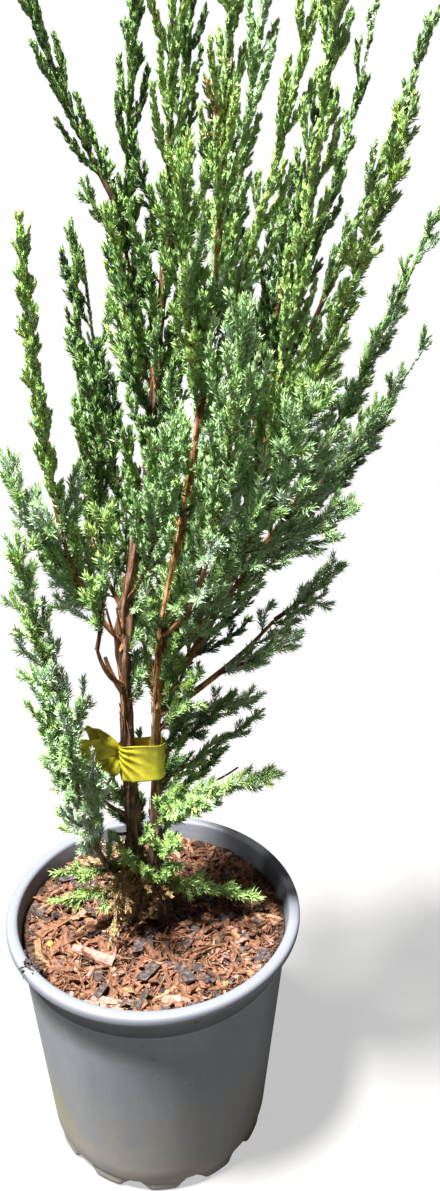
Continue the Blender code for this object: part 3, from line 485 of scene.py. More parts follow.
class Surface:
    """A material, and short ways to build its nodes."""

    def __init__(self, name, roughness, specular):
        self.material = bpy.data.materials.new(name)
        self.material.use_nodes = True
        self.tree = self.material.node_tree
        self.shader = self.tree.nodes["Principled BSDF"]
        self.shader.inputs["Roughness"].default_value = roughness
        self.shader.inputs["Specular IOR Level"].default_value = specular

    def node(self, *kind, **settings):
        """A new node's output: its kind, the output's name and its inputs, as in new_node."""
        return new_node(self.tree, *kind, **settings)

    def places(self, stretch=(1, 1, 1), shift=(0, 0, 0)):
        """The object's own coordinates, stretched along the axes."""
        own = self.node("ShaderNodeTexCoord", "Object")
        return self.node("ShaderNodeMapping", "Vector", {"Vector": own, "Scale": stretch, "Location": shift})

    def height(self):
        return self.node("ShaderNodeSeparateXYZ", "Z", {"Vector": self.node("ShaderNodeTexCoord", "Object")})

    def noise(self, vector, scale, detail=4.0, roughness=0.6, distortion=0.0):
        return self.node("ShaderNodeTexNoise", "Fac", {
            "Vector": vector, "Scale": scale, "Detail": detail, "Roughness": roughness,
            "Distortion": distortion})

    def ramp(self, value, stops):
        """A colour for each place of a value: stops are (place, colour)."""
        node = self.tree.nodes.new("ShaderNodeValToRGB")
        elements = node.color_ramp.elements
        while len(elements) < len(stops):
            elements.new(0.5)
        for element, (spot, colour) in zip(elements, stops):
            element.position = spot
            element.color = (*colour, 1.0)
        self.tree.links.new(value, node.inputs["Fac"])
        return node.outputs["Color"]

    def mask(self, value, low, high):
        """0 below low, 1 above high."""
        return self.node("ShaderNodeMapRange", "Result",
                         {"Value": value, "From Min": low, "From Max": high}, clamp=True)

    def mixed(self, factor, first, second, data_type="RGBA"):
        """first where factor is 0, second where it is 1."""
        return self.node("ShaderNodeMix", "Result", {"Factor": factor, "A": first, "B": second},
                         data_type=data_type)

    def times(self, first, second):
        return self.node("ShaderNodeMath", "Value", {0: first, 1: second}, operation="MULTIPLY")

    def bump(self, height, strength, distance):
        normal = self.node("ShaderNodeBump", "Normal",
                           {"Height": height, "Strength": strength, "Distance": distance})
        self.tree.links.new(normal, self.shader.inputs["Normal"])

    def coloured(self, base):
        """The finished material."""
        self.tree.links.new(base, self.shader.inputs["Base Color"])
        return self.material


def blotched(name, stops, scale, stretch, roughness, relief, specular=0.4):
    """Colour that ranges over a noise, with a bump from a finer one."""
    surface = Surface(name, roughness, specular)
    vector = surface.places(stretch)
    if relief:
        surface.bump(surface.noise(vector, scale * 2.6), 0.8, relief)
    return surface.coloured(surface.ramp(surface.noise(vector, scale), stops))


def bark_material(name, stops, aged):
    """Stringy bark: streaks that run up the stem, with flaking patches across them, grey low down."""
    surface = Surface(name, 0.85, 0.25)
    streaks = surface.noise(surface.places((1, 1, 0.14)), 420.0, 6.0, 0.65, 0.4)
    patches = surface.noise(surface.places((1, 1, 0.5)), 90.0, 3.0, 0.5)
    blend = surface.mixed(0.42, streaks, patches, data_type="FLOAT")
    old = surface.mask(surface.height(), aged + 60 * MM, aged - 60 * MM)
    surface.bump(streaks, 1.0, 1.6 * MM)
    return surface.coloured(surface.mixed(old, surface.ramp(blend, stops), surface.ramp(blend, GREY_BARK)))


# --- lines and shoots ------------------------------------------------------

def smooth_line(points, steps):
    """A Catmull-Rom curve through points, with steps pieces between two of them."""
    points = [np.array(point, float) for point in points]
    padded = [points[0] * 2 - points[1], *points, points[-1] * 2 - points[-2]]
    line = []
    for a, b, c, d in zip(padded, padded[1:], padded[2:], padded[3:]):
        for step in range(steps):
            t = step / steps
            line.append(0.5 * (b * 2 + (c - a) * t + (a * 2 - b * 5 + c * 4 - d) * t ** 2
                               + (b * 3 - a - c * 3 + d) * t ** 3))
    return np.array([*line, points[-1]])


def swept_line(start, tip, sweep, steps):
    """The way a bough or shoot grows: it leaves at a slant and bends upwards."""
    across = tip - start
    bend = start + across * np.array((0.5 + 0.5 * sweep, 0.5 + 0.5 * sweep, 0.5 - 0.3 * sweep))
    t = np.linspace(0.0, 1.0, steps + 1)[:, None]
    return start * (1 - t) ** 2 + bend * 2 * t * (1 - t) + tip * t ** 2


def unit(vectors):
    return vectors / np.linalg.norm(vectors, axis=-1, keepdims=True)


def frames(along):
    """Two directions square to each direction of a line, which turn as little as they can."""
    aside = (1.0, 0.0, 0.0) if abs(along[0][2]) > 0.9 else (0.0, 0.0, 1.0)
    first = np.cross(along[0], aside)
    side = unit(first - along * (along @ first)[:, None])
    return side, np.cross(along, side)


def spokes(along, angles):
    """Directions square to each direction of a line, at angles round it."""
    side, other = frames(along)
    return np.cos(angles)[..., None] * side[:, None] + np.sin(angles)[..., None] * other[:, None]


def reach_along(line):
    """Distance from a line's start to each of its points."""
    return np.concatenate(([0.0], np.cumsum(np.linalg.norm(np.diff(line, axis=0), axis=1))))


def points_at(line, places):
    """Points of a line at distances along it."""
    reach = reach_along(line)
    return np.stack([np.interp(places, reach, line[:, axis]) for axis in range(3)], axis=1)


def point_on(line, part):
    """Point and direction at a part, from 0 to 1, of a line's points."""
    spot = part * (len(line) - 1)
    index = min(int(spot), len(line) - 2)
    step = line[index + 1] - line[index]
    return line[index] + step * (spot - index), step / np.linalg.norm(step)


def side_direction(along, angle):
    """A direction square to a shoot, turned round it by an angle."""
    side, other = frames(along[None, :])
    return side[0] * math.cos(angle) + other[0] * math.sin(angle)


def refined(line, step):
    """The same line with points a step apart, rounded where it turned."""
    count = max(4, int(reach_along(line)[-1] / step))
    curve = smooth_line(line, 8)
    return points_at(curve, np.linspace(0.0, reach_along(curve)[-1], count))


def tube(line, radii, sides, relief=1.0):
    """Vertices and quads of a round skin along a line; relief scales the radius round each ring."""
    angles = (np.arange(sides) * math.tau / sides)[None, :]
    reach = radii[:, None] * relief
    vertices = line[:, None] + spokes(unit(np.gradient(line, axis=0)), angles) * reach[..., None]
    return vertices.reshape(-1, 3), grid_faces(len(line), sides)


# --- limbs -----------------------------------------------------------------

class Limb:
    """A tapering stem: its centre line, and the radius at each of its points."""

    def __init__(self, points, radii=None):
        self.points = points
        self.radii = radii

    def at_height(self, height):
        """Where the centre line first reaches a height."""
        for low, high in zip(self.points, self.points[1:]):
            if low[2] <= height <= high[2]:
                return low + (high - low) * (height - low[2]) / (high[2] - low[2])
        return self.points[-1]

    def between(self, low, high, step):
        """Points a step apart along the stretch between two heights, in millimetres."""
        line = refined(self.points, step)
        return line[(line[:, 2] >= low * MM) & (line[:, 2] <= high * MM)]

    def finely(self, step):
        """The centre line with points a step apart, the distance along it, and its radii."""
        line = refined(self.points, step)
        reach = reach_along(line)
        return line, reach, np.interp(reach / reach[-1], np.linspace(0.0, 1.0, len(self.radii)), self.radii)


def grow_limbs():
    """Every leader and bough, in the order in which they carry each other."""
    limbs = {}
    for name, (points, (flare, base, tip)) in LEADERS.items():
        line = smooth_line(np.array(points) * MM, LEADER_STEPS)
        rise = line[:, 2] - line[0, 2]
        radii = base + (tip - base) * rise / rise[-1] + (flare - base) * np.exp(-rise / FLARE_HEIGHT)
        line[1, :2] = line[0, :2]
        limbs[name] = Limb(line, radii * MM)
    for name, parent, height, tip, sweep, *radii in BOUGHS:
        line = swept_line(limbs[parent].at_height(height * MM), np.array(tip) * MM, sweep, BOUGH_STEPS)
        limbs[name] = Limb(line, np.linspace(*radii, BOUGH_STEPS + 1) * MM)
    return limbs


def bark_relief(reach, sides, lobes, winding, depth, draws):
    """Ridges that wind round a stem, with strips of bark between them, as factors of the radius."""
    reach = reach[:, None]
    angles = (np.arange(sides) * math.tau / sides)[None, :]
    ridges = 0.5 * depth * np.cos(lobes * (angles - winding * reach))
    for _ in range(BARK_STRIPS):
        count = draws.randint(3, 9)
        drift = draws.uniform(-30.0, 30.0)
        wave = draws.uniform(60.0, 260.0)
        swing = draws.uniform(0.2, 0.8)
        phase = draws.uniform(0.0, math.tau)
        turn = count * angles + drift * reach + swing * np.sin(wave * reach) + phase
        ridges += depth * 0.32 * (0.5 - np.abs(np.sin(0.5 * turn)))
    return 1.0 + ridges


def bark_pile(limbs, names, sides, step, lobes, winding, depth, girth):
    """The bark of some limbs."""
    pile = Pile()
    for name in names:
        draws = random.Random(f"{SEED} bark {name}")
        line, _, radii = limbs[name].finely(step)
        if name in LEADERS:
            line[0, 2] -= ROOTED
        radii[-1] *= 0.3
        if name == "trunk":
            radii *= 1.0 + KNOT_SWELL * np.exp(-((line[:, 2] - KNOT_HEIGHT) / KNOT_REACH) ** 2)
        relief = bark_relief(reach_along(line), sides, lobes, winding, depth, draws)
        pile.add(*tube(line, radii * girth, sides, relief))
    return pile


def flake_pile(limbs, names, count):
    """Strips of bark that have come loose at one end."""
    pile = Pile()
    outline = np.array((0.4, 1.0, 1.0, 0.8, 0.2))[:, None]
    run = np.linspace(0.0, 1.0, len(outline))
    for name in names:
        draws = random.Random(f"{SEED} flakes {name}")
        line, reach, radii = limbs[name].finely(2 * MM)
        for _ in range(count):
            length = draws.uniform(6, 17) * MM
            first = draws.uniform(0.0, reach[-1] - length)
            places = np.linspace(first, first + length, len(outline))
            centres = points_at(line, places)
            along = unit(np.gradient(centres, axis=0))
            turn = draws.uniform(0, math.tau) + draws.uniform(-0.5, 0.5) * run
            lift = draws.uniform(0.4, 1.8) * MM * run ** 2
            if draws.random() < 0.5:
                lift = lift[::-1]
            out = spokes(along, turn[:, None])[:, 0]
            across = np.cross(along, out) * draws.uniform(0.5, 1.4) * MM * outline
            middle = centres + out * (np.interp(places, reach, radii) * 1.12 + lift)[:, None]
            vertices = np.concatenate([middle - across, middle + out * 0.35 * MM, middle + across])
            pile.add(vertices, grid_faces(3, len(outline), closed=False)[:, TURNED])
    return pile


def make_bark(limbs):
    """The trunk, leaders and boughs, with the stubs and loose strips on them."""
    dark = bark_material("bark_dark", DARK_BARK, 340 * MM)
    warm = bark_material("bark_warm", WARM_BARK, 350 * MM)
    boughs = [row[0] for row in BOUGHS]
    stubs = Pile()
    for name, height, tip, radius in STUBS:
        line = swept_line(limbs[name].at_height(height * MM), np.array(tip) * MM, 0.3, 6)
        stubs.add(*tube(line, np.linspace(1.3, 0.75, len(line)) * radius * MM, 8))
    # Sides, length of a step, lobes and how fast they wind, depth of the relief, and girth.
    trunk = bark_pile(limbs, ["trunk"], 44, 1.2 * MM, 3, 24.0, 0.46, 1.15)
    right = bark_pile(limbs, ["leader_right"], 36, 1.3 * MM, 2, -20.0, 0.34, 0.98)
    rest = bark_pile(limbs, boughs, 18, 1.6 * MM, 2, 30.0, 0.22, 0.86)
    for name, pile, material, nodes in (
            ("trunk_bark", trunk, dark, ["trunk"]), ("leader_right_bark", right, warm, ["leader_right"]),
            ("bark_stubs", stubs, warm, []), ("bough_bark", rest, warm, boughs)):
        piece_from(pile, name, material, "bark", *nodes, smooth=True)
    piece_from(flake_pile(limbs, LEADERS, FLAKES), "bark_flakes", warm, "bark")


# --- foliage ---------------------------------------------------------------

def segments(lines):
    """Where every straight piece of some lines starts, and where it ends."""
    return np.concatenate([line[:-1] for line in lines]), np.concatenate([line[1:] for line in lines])


def segment_distances(points, starts, ends):
    """Distance from each point to each segment."""
    span = ends - starts
    offset = points[:, None] - starts
    part = np.clip((offset * span).sum(axis=2) / (span * span).sum(axis=1), 0.0, 1.0)
    return np.linalg.norm(offset - part[..., None] * span, axis=2)


def seen_at(points):
    """Where points show in the photograph's pixels, and how far they lie from the camera."""
    offset = points - np.array(CAMERA_PLACE)
    depth = offset @ FORWARD
    scale = FRAME[1] * LENS / SENSOR / depth
    return np.stack([FRAME[0] / 2 + offset @ RIGHT * scale,
                     FRAME[1] / 2 - offset @ np.cross(RIGHT, FORWARD) * scale, depth], axis=-1)


class Spaces:
    """What a twig keeps clear of: limbs, tie, soil, and the heart of other masses' spaces."""

    def __init__(self, limbs, axes):
        lines = [(limb.points, limb.radii) for limb in limbs.values()]
        middle = (TIE_CENTRES[0] + TIE_CENTRES[1]) / 2
        tie = np.array([(*middle, TIE_LOW + 8 * MM), (*middle, TIE_HIGH - 8 * MM)])
        lines.append((tie, np.full(2, TIE_ROOM)))
        self.limbs = segments([line for line, _ in lines])
        self.radii = np.concatenate([radii[:-1] for _, radii in lines])
        self.axes = segments(axes.values())
        self.owner = np.concatenate([[i] * (len(axis) - 1) for i, axis in enumerate(axes.values())])
        self.index = {name: i for i, name in enumerate(axes)}
        shown = [limbs[name].between(low, high, 6 * MM) for name, low, high, _ in SEEN_STEMS]
        self.stems = [(seen_at(points), row[3]) for points, row in zip(shown, SEEN_STEMS)]
        self.sunlit = np.concatenate([*shown, np.array(SUNLIT_PLACES) * MM])
        on_stems = np.arange(len(self.sunlit)) < sum(map(len, shown))
        self.sun_room = np.where(on_stems, STEM_SUN_ROOM, SUN_ROOM)

    def open(self, points):
        """Whether points leave the photograph's bare stems and gaps of sky in sight, and its sunlit
        places in the sun."""
        seen = seen_at(points)
        x, y, depth = seen.T
        for left, top, right, bottom in OPEN_SKY:
            if ((x > left) & (x < right) & (y > top) & (y < bottom)).any():
                return False
        for shown, room in self.stems:
            reach = np.linalg.norm(seen[:, None, :2] - shown[None, :, :2], axis=2)
            if ((reach < room) & (depth[:, None] < shown[None, :, 2])).any():
                return False
        offset = points[:, None] - self.sunlit[None]
        sunward = offset @ np.array(SUN_FROM)
        aside = np.linalg.norm(offset - sunward[..., None] * np.array(SUN_FROM), axis=2)
        return not ((sunward > 0.0) & (sunward < SUN_REACH) & (aside < self.sun_room)).any()

    def clear(self, points, radius):
        """Whether points lie above the mulch and off the limbs and the tie, and hide nothing open."""
        if points[:, 2].min() - radius < SOIL + 1 * MM or not self.open(points):
            return False
        return (segment_distances(points, *self.limbs) - self.radii).min() > radius

    def free(self, name, points, radius):
        """Whether points are clear, and, but for LAP, nearer to their own mass's stem than to another's."""
        if not self.clear(points, radius):
            return False
        own = self.owner == self.index[name]
        reach = segment_distances(points, *self.axes)
        margin = (reach[:, ~own].min(axis=1) - reach[:, own].min(axis=1)) / 2
        return bool((margin + LAP > radius).all())


def twig_line(root, along, side, length, slant, lift=0.08):
    """A twig: it leaves its shoot at a slant, turns to run beside it and lifts its tip."""
    first = (along * math.cos(slant) + side * math.sin(slant)) * length * 0.55
    last = (along * math.cos(slant * 0.35) + side * math.sin(slant * 0.35)) * length * 0.45
    last[2] += lift * length
    t = np.linspace(0.0, 1.0, 5)[:, None]
    return root * (1 - t) ** 2 + (root + first) * 2 * t * (1 - t) + (root + first + last) * t ** 2


def grow_twig(name, root, along, turn, length, slant, spaces):
    """The longest twig of a few tries that stays in its mass's space, or None."""
    for extra_turn in (0.0, 2.1, -2.1):
        side = side_direction(along, turn + extra_turn)
        for share in (1.0, 0.75, 0.5):
            line = twig_line(root, along, side, length * share, slant)
            if spaces.free(name, line[1:], TWIG_ROOM):
                return line
    return None


def deal(palette, draws):
    """One shade out of a palette, by its shares."""
    draw = draws.random()
    for shade, share in palette:
        draw -= share
        if draw < 0.0:
            return shade
    return palette[-1][0]


class Foliage:
    """Twigs and leaves of every mass, sorted into piles by kind and shade."""

    def __init__(self, limbs):
        self.wood = Pile()
        self.green = Pile()
        self.leaves = {shade: [] for shade in LEAF_SHADES}
        self.axes = {}
        carriers = dict(limbs)
        for name, parent, height, tip, sweep, *_ in FOLIAGE + SHOOTS:
            limb = carriers[parent]
            start = limb.points[-1] if height is None else limb.at_height(height * MM)
            self.axes[name] = swept_line(start, np.array(tip) * MM, sweep, AXIS_STEPS)
            carriers[name] = Limb(self.axes[name])
        self.spaces = Spaces(limbs, self.axes)

    def grow(self, row):
        """One mass: its stem, which is a spire itself, and the twigs on it."""
        name, side_length, kind, habit = row[0], row[5] * MM, row[6], HABITS[row[7]]
        draws = random.Random(f"{SEED} leaves {name}")
        axis = refined(self.axes[name], 5 * MM)
        self.add_wood(axis, 0.0, 0.62, STEM_RADIUS, self.wood, 6)
        self.add_wood(axis, 0.58, 1.0, STEM_TIP_RADIUS, self.green, 5)
        self.dress(axis, habit, kind, draws)
        spin = draws.uniform(0, math.tau)
        count = max(4, int(reach_along(axis)[-1] / (habit.twigs * MM)))
        for index in range(count):
            part = 0.02 + 0.94 * (index + draws.uniform(-0.25, 0.25) + 0.5) / count
            root, along = point_on(axis, part)
            taper = (1.0 - 0.5 * part ** 1.5) * (1.0 - 0.6 * part ** 8)
            slant = math.radians(habit.slant) * draws.uniform(0.75, 1.2)
            twig = grow_twig(name, root, along, spin + GOLDEN * index,
                             side_length * taper * draws.uniform(0.5, 1.15), slant, self.spaces)
            if twig is not None:
                self.add_twig(twig, habit, kind, part < 0.6, draws)

    def grow_on_limb(self, row, limb):
        """Sprays straight from a limb, all round it."""
        name, low, high, spacing, size, slant, kind, habit = row
        draws = random.Random(f"{SEED} sprays {name} {low}")
        inside = limb.between(low, high, 3 * MM)
        spin = draws.uniform(0, math.tau)
        count = int(reach_along(inside)[-1] / (spacing * MM))
        for index in range(count):
            root, along = point_on(inside, (index + draws.uniform(0.2, 0.8)) / count)
            turned = math.radians(slant) * draws.uniform(0.8, 1.15)
            length = size * MM * draws.uniform(0.55, 1.15)
            for extra_turn, share in ((0.0, 1.0), (1.6, 1.0), (-1.6, 1.0), (0.6, 0.6), (-0.6, 0.5)):
                side = side_direction(along, spin + GOLDEN * index + extra_turn)
                twig = twig_line(root, along, side, length * share, turned, 0.15 if slant < 90 else -0.1)
                if self.spaces.clear(twig[2:], TWIG_ROOM):
                    self.add_twig(twig, HABITS[habit], kind, True, draws)
                    break

    def add_twig(self, twig, habit, kind, brown, draws):
        self.add_wood(twig, 0.0, 0.5, 0.75 * MM, self.wood if brown else self.green, 4)
        self.add_wood(twig, 0.45, 1.0, 0.5 * MM, self.green, 3)
        self.dress(twig, habit, kind, draws)

    def dress(self, line, habit, kind, draws):
        """Leaves and short sprigs all along a shoot, longest at its lower third, so that it is a spire."""
        shade = deal(PALETTES[kind], draws)
        self.clothe(line, BARE_SHARE, habit, shade, kind, draws)
        spin = draws.uniform(0, math.tau)
        count = int(reach_along(line)[-1] * (0.96 - BARE_SHARE) / (habit.sprigs * MM))
        for index in range(count):
            part = (index + draws.uniform(-0.3, 0.3) + 0.5) / count
            root, along = point_on(line, BARE_SHARE + (0.95 - BARE_SHARE) * part)
            side = side_direction(along, spin + GOLDEN * index)
            profile = (0.55 + 0.45 * min(1.0, part * 4)) * (1.0 - 0.62 * part ** 1.3)
            size = habit.sprig * MM * profile * draws.uniform(0.6, 1.3)
            slant = math.radians(habit.sprig_slant) * draws.uniform(0.7, 1.2)
            sprig = twig_line(root, along, side, size, slant)
            if not self.spaces.clear(sprig[2:], SPRIG_ROOM):
                continue
            own = shade if draws.random() < 0.7 else deal(PALETTES[kind], draws)
            self.add_wood(sprig, 0.0, 1.0, 0.4 * MM, self.green, 3)
            self.clothe(sprig, 0.04, habit, own, kind, draws)
            if size > FORKED_SPRIG:
                root, along = point_on(sprig, 0.45)
                side = side_direction(along, spin + index)
                spur = twig_line(root, along, side, 0.45 * size, slant)[::2]
                self.clothe(spur, 0.0, habit, own, kind, draws)

    def add_wood(self, line, begin, end, radius, pile, sides):
        """The bare shoot over a part of a line."""
        reach = reach_along(line)[-1]
        places = np.linspace(begin, end, max(2, int((end - begin) * reach / (7 * MM)) + 1))
        radii = radius * (1.0 - 0.45 * (places - begin) / (end - begin))
        radii[-1] *= 0.4
        pile.add(*tube(points_at(line, places * reach), radii, sides))

    def clothe(self, line, begin, habit, shade, kind, draws):
        """Leaves in whorls along a line, from a part of it on; those near its tip are paler."""
        reach = reach_along(line)[-1]
        places = np.arange(begin * reach, reach, habit.pitch * MM)
        if not len(places):
            return
        along = unit(points_at(line, np.minimum(places + 0.5 * MM, reach))
                     - points_at(line, np.maximum(places - 0.5 * MM, 0.0)) + 1e-12)
        turns = np.arange(len(places)) * math.pi / habit.whorl + draws.uniform(0, math.tau)
        out = spokes(along, turns[:, None] + np.arange(habit.whorl) * math.tau / habit.whorl)
        part = np.repeat(places / reach, habit.whorl)
        sizes = (habit.leaf * MM, habit.width * MM, math.radians(habit.spread))
        columns = (np.repeat(points_at(line, places), habit.whorl, axis=0),
                   np.repeat(along, habit.whorl, axis=0), out.reshape(-1, 3), part,
                   *(np.full(part.size, size) for size in sizes))
        young = part > 1.0 - draws.uniform(1.0, 5.0) * MM / reach
        for chosen, own in ((~young, shade), (young, TIP_SHADES[kind])):
            if chosen.any():
                self.leaves[own].append(tuple(column[chosen] for column in columns))


def leaf_corners(batches):
    """The four corners of every leaf, which is a slim spike, keeled outside."""
    roots, along, out, part, length, width, spread = (np.concatenate(column) for column in zip(*batches))
    chance = np.random.default_rng(SEED)
    spread = spread * chance.uniform(0.6, 1.4, len(spread)) * (1.0 - 0.45 * part)
    length = length * chance.uniform(0.75, 1.15, len(length)) * (1.0 - 0.25 * part ** 3)
    heading = along * np.cos(spread)[:, None] + out * np.sin(spread)[:, None]
    heading = unit(heading + chance.normal(0.0, 0.07, heading.shape))
    across = unit(np.cross(along, out)) * (width / 2)[:, None]
    base = roots + out * (0.12 * width)[:, None] - np.cross(across, heading) * 1.2
    belly = roots + out * (0.12 * width)[:, None] + heading * (length * 0.3)[:, None]
    return np.stack([belly + across, belly - across, base, roots + heading * length[:, None]], axis=1)


def make_foliage(limbs):
    """Every twig, spray and leaf, joined by kind into pieces of under MOST_FACES."""
    foliage = Foliage(limbs)
    for row in FOLIAGE + SHOOTS:
        foliage.grow(row)
    for row in LIMB_SPRAYS:
        foliage.grow_on_limb(row, limbs[row[0]])
    wood = blotched("twig_bark", TWIG_BARK, 160.0, (1, 1, 0.3), 0.8, 0.4 * MM)
    green = blotched("green_twigs", GREEN_TWIGS, 160.0, (1, 1, 0.3), 0.6, 0.0)
    piece_from(foliage.wood, "twigs_brown", wood, "bark", *(row[0] for row in FOLIAGE), smooth=True)
    piece_from(foliage.green, "twigs_green", green, "foliage_bright", smooth=True)
    for shade, (dull, full, slot) in LEAF_SHADES.items():
        stops = ((0.36, dull), (0.64, full))
        material = blotched(f"leaves_{shade}", stops, 210.0, (1, 1, 1), 0.34, 0.0, 0.6)
        leaves = leaf_corners(foliage.leaves[shade])
        parts = 1 + len(leaves) * len(LEAF_FACES) // MOST_FACES
        bounds = np.linspace(0, len(leaves), parts + 1).astype(int)
        for number, (low, high) in enumerate(zip(bounds, bounds[1:]), start=1):
            pile = Pile()
            first = np.arange(high - low)[:, None] * 4
            pile.add(leaves[low:high].reshape(-1, 3),
                     np.concatenate([first + np.array(face) for face in LEAF_FACES]))
            piece_from(pile, f"leaves_{shade}_{number}", material, slot)


# --- pot -------------------------------------------------------------------

def wall_radius(height):
    return WALL_FOOT_RADIUS + (WALL_TOP_RADIUS - WALL_FOOT_RADIUS) * height / LINE_HEIGHT


def pot_profile():
    """The pot's section, from the middle of the floor inside, over the rim, to the underside."""
    edge = wall_radius(CHANNEL_DEPTH) - WALL
    profile = [(0.0, FLOOR), (BASE_DISC_RADIUS - 2 * MM, FLOOR),
               (BASE_DISC_RADIUS + 1 * MM, CHANNEL_DEPTH + FLOOR), (edge - 1 * MM, CHANNEL_DEPTH + FLOOR),
               (wall_radius(POT_HEIGHT * 0.9) - WALL, POT_HEIGHT * 0.9)]
    for angle in range(165, -75, -12):
        turn = math.radians(angle)
        profile.append(tuple(
            middle - RIM_ROLL + RIM_ROLL * math.copysign(abs(way) ** RIM_SQUARENESS, way)
            for middle, way in ((RIM_RADIUS, math.cos(turn)), (POT_HEIGHT, math.sin(turn)))))
    for out, height in RIM_NECK:
        profile.append((WALL_TOP_RADIUS + out * MM, POT_HEIGHT + height * MM))
    for out, height in RAISED_LINE:
        profile.append((WALL_TOP_RADIUS + out * MM, LINE_HEIGHT + height * MM))
    for height in WALL_HEIGHTS:
        profile.append((wall_radius(height * MM), height * MM))
    profile.append((wall_radius(12 * MM) - 0.4 * MM, 12 * MM))
    for out, height in FOOT_OUTLINE:
        profile.append((FOOT_RADIUS + out * MM, height * MM))
    profile += [(FOOT_RADIUS - 6 * MM, CHANNEL_DEPTH), (BASE_DISC_RADIUS + 3 * MM, CHANNEL_DEPTH),
                (BASE_DISC_RADIUS, 0.0), (0.0, 0.0)]
    return profile


def foot_ring(radius, height, turns):
    """One ring of the pot; near the ground it is drawn in and raised between the lobes of the foot."""
    aside = np.abs((turns * LOBES / math.tau) % 1.0 - 0.5)
    notch = np.clip((NOTCH_SHARE - aside) / NOTCH_SHARE, 0.0, 1.0) ** 0.7
    if radius < FOOT_RADIUS - 5 * MM or height > NOTCH_TOP:
        notch = notch * 0.0
    share = notch * (1.0 - height / NOTCH_TOP)
    inward = radius - NOTCH_DEPTH * share
    return np.stack([inward * np.cos(turns), inward * np.sin(turns), height + NOTCH_RISE * share], axis=1)


def make_pot():
    """The pot with its rolled rim, raised line, lobed foot and drains."""
    profile = pot_profile()
    turns = np.arange(POT_STEPS) * math.tau / POT_STEPS
    rings = np.array([foot_ring(radius, height, turns) for radius, height in profile[1:-1]])
    vertices = np.concatenate([rings.reshape(-1, 3), [(0, 0, profile[0][1]), (0, 0, profile[-1][1])]])
    faces = grid_faces(len(rings), POT_STEPS)[:, [1, 0, 3, 2]].tolist()
    last = (len(rings) - 1) * POT_STEPS
    for step in range(POT_STEPS):
        after = (step + 1) % POT_STEPS
        faces.append((step, after, len(vertices) - 2))
        faces.append((last + after, last + step, len(vertices) - 1))
    mesh = bpy.data.meshes.new("pot_shell")
    mesh.from_pydata(vertices.tolist(), [], faces)
    pot = linked("pot_shell", mesh)

    drains = bpy.data.collections.new("drains")
    reach = (BASE_DISC_RADIUS + FOOT_RADIUS) / 2 - 1 * MM
    for index in range(DRAINS):
        turn = math.tau * (index + 0.5) / DRAINS
        bpy.ops.mesh.primitive_cylinder_add(
            vertices=24, radius=DRAIN_RADIUS, depth=12 * MM,
            location=(reach * math.cos(turn), reach * math.sin(turn), CHANNEL_DEPTH + 2 * MM))
        drains.objects.link(bpy.context.object)
    cut = pot.modifiers.new("cuts", "BOOLEAN")
    cut.operand_type = "COLLECTION"
    cut.collection = drains
    graph = bpy.context.evaluated_depsgraph_get()
    pot.data = bpy.data.meshes.new_from_object(pot.evaluated_get(graph))
    pot.modifiers.clear()
    for drain in list(drains.objects):
        bpy.data.objects.remove(drain, do_unlink=True)
    bpy.data.collections.remove(drains)
    pot.data.shade_smooth()
    pot.data.set_sharp_from_angle(angle=SHARP_ANGLE)
    place(pot, pot_material(), "pot_plastic", "pot")


def pot_material():
    """Matt grey plastic with scuffs, dust, water marks, specks and a green film low down at the left, and
    painted highlights on the rim and the raised line.
    """
    surface = Surface("pot_plastic", 0.5, 0.35)
    even = surface.places()
    height = surface.height()

    def patches(scale, low, high, detail=4.0, roughness=0.6, distortion=0.0):
        return surface.mask(surface.noise(even, scale, detail, roughness, distortion), low, high)

    scuffs = surface.times(patches(190.0, 0.60, 0.70, 8.0, 0.75, 1.5), patches(14.0, 0.42, 0.6))
    dust = surface.times(surface.mask(height, 0.12, 0.02), patches(34.0, 0.28, 0.55))
    # Painted highlight: the rim is painted one even grey, for the even sheen that light gives its top.
    rim = surface.mask(height, POT_HEIGHT - 10 * MM, POT_HEIGHT - 8 * MM)
    # Painted highlight: a lighter band along the raised line, where light catches it.
    painted_line_highlight = surface.times(surface.mask(height, LINE_HEIGHT - 1.4 * MM, LINE_HEIGHT - 0.2 * MM),
                         surface.mask(height, LINE_HEIGHT + 1.6 * MM, LINE_HEIGHT + 0.4 * MM))
    ball = surface.node("ShaderNodeTexGradient", "Fac",
                        {"Vector": surface.places((42.0, 42.0, 22.0), (3.3, 1.9, -0.9))},
                        gradient_type="SPHERICAL")
    film = surface.times(surface.mask(ball, 0.0, 0.5), patches(130.0, 0.42, 0.62, 6.0, 0.7))
    base = surface.ramp(surface.noise(surface.places((1, 1, 0.25)), 24.0, 6.0, 0.6), POT_GREYS)
    dirt = patches(60.0, 0.60, 0.74, 10.0, 0.8)
    specks = patches(520.0, 0.735, 0.78, 2.0, 0.4)
    for share, colour in ((scuffs, (0.23, 0.235, 0.23, 1)), (dirt, (0.075, 0.069, 0.058, 1)),
                          (specks, (0.03, 0.026, 0.022, 1)), (dust, (0.245, 0.226, 0.190, 1)),
                          (rim, (0.172, 0.186, 0.220, 1)),
                          (painted_line_highlight, (0.30, 0.31, 0.33, 1)), (film, (0.24, 0.23, 0.07, 1))):
        base = surface.mixed(share, base, colour)
    surface.bump(surface.noise(even, 300.0, 5.0, 0.6), 0.25, 0.3 * MM)
    return surface.coloured(base)


# --- mulch -----------------------------------------------------------------

def soil_level(x, y):
    """Height of the mulch at a place: higher round the stems, lumpy all over."""
    radius = np.hypot(x, y)
    level = SOIL + (SOIL_EDGE - SOIL) * np.clip((radius - SOIL_PATCH) / SOIL_SLOPE, 0.0, 1.0)
    lumps = (np.sin(x * 190 + 1.3) * np.sin(y * 170 + 0.4) + 0.7 * np.sin(x * 410 + y * 230)
             + 0.5 * np.sin(y * 520 - x * 300 + 2.0))
    return level + 0.8 * MM + 0.9 * MM * lumps


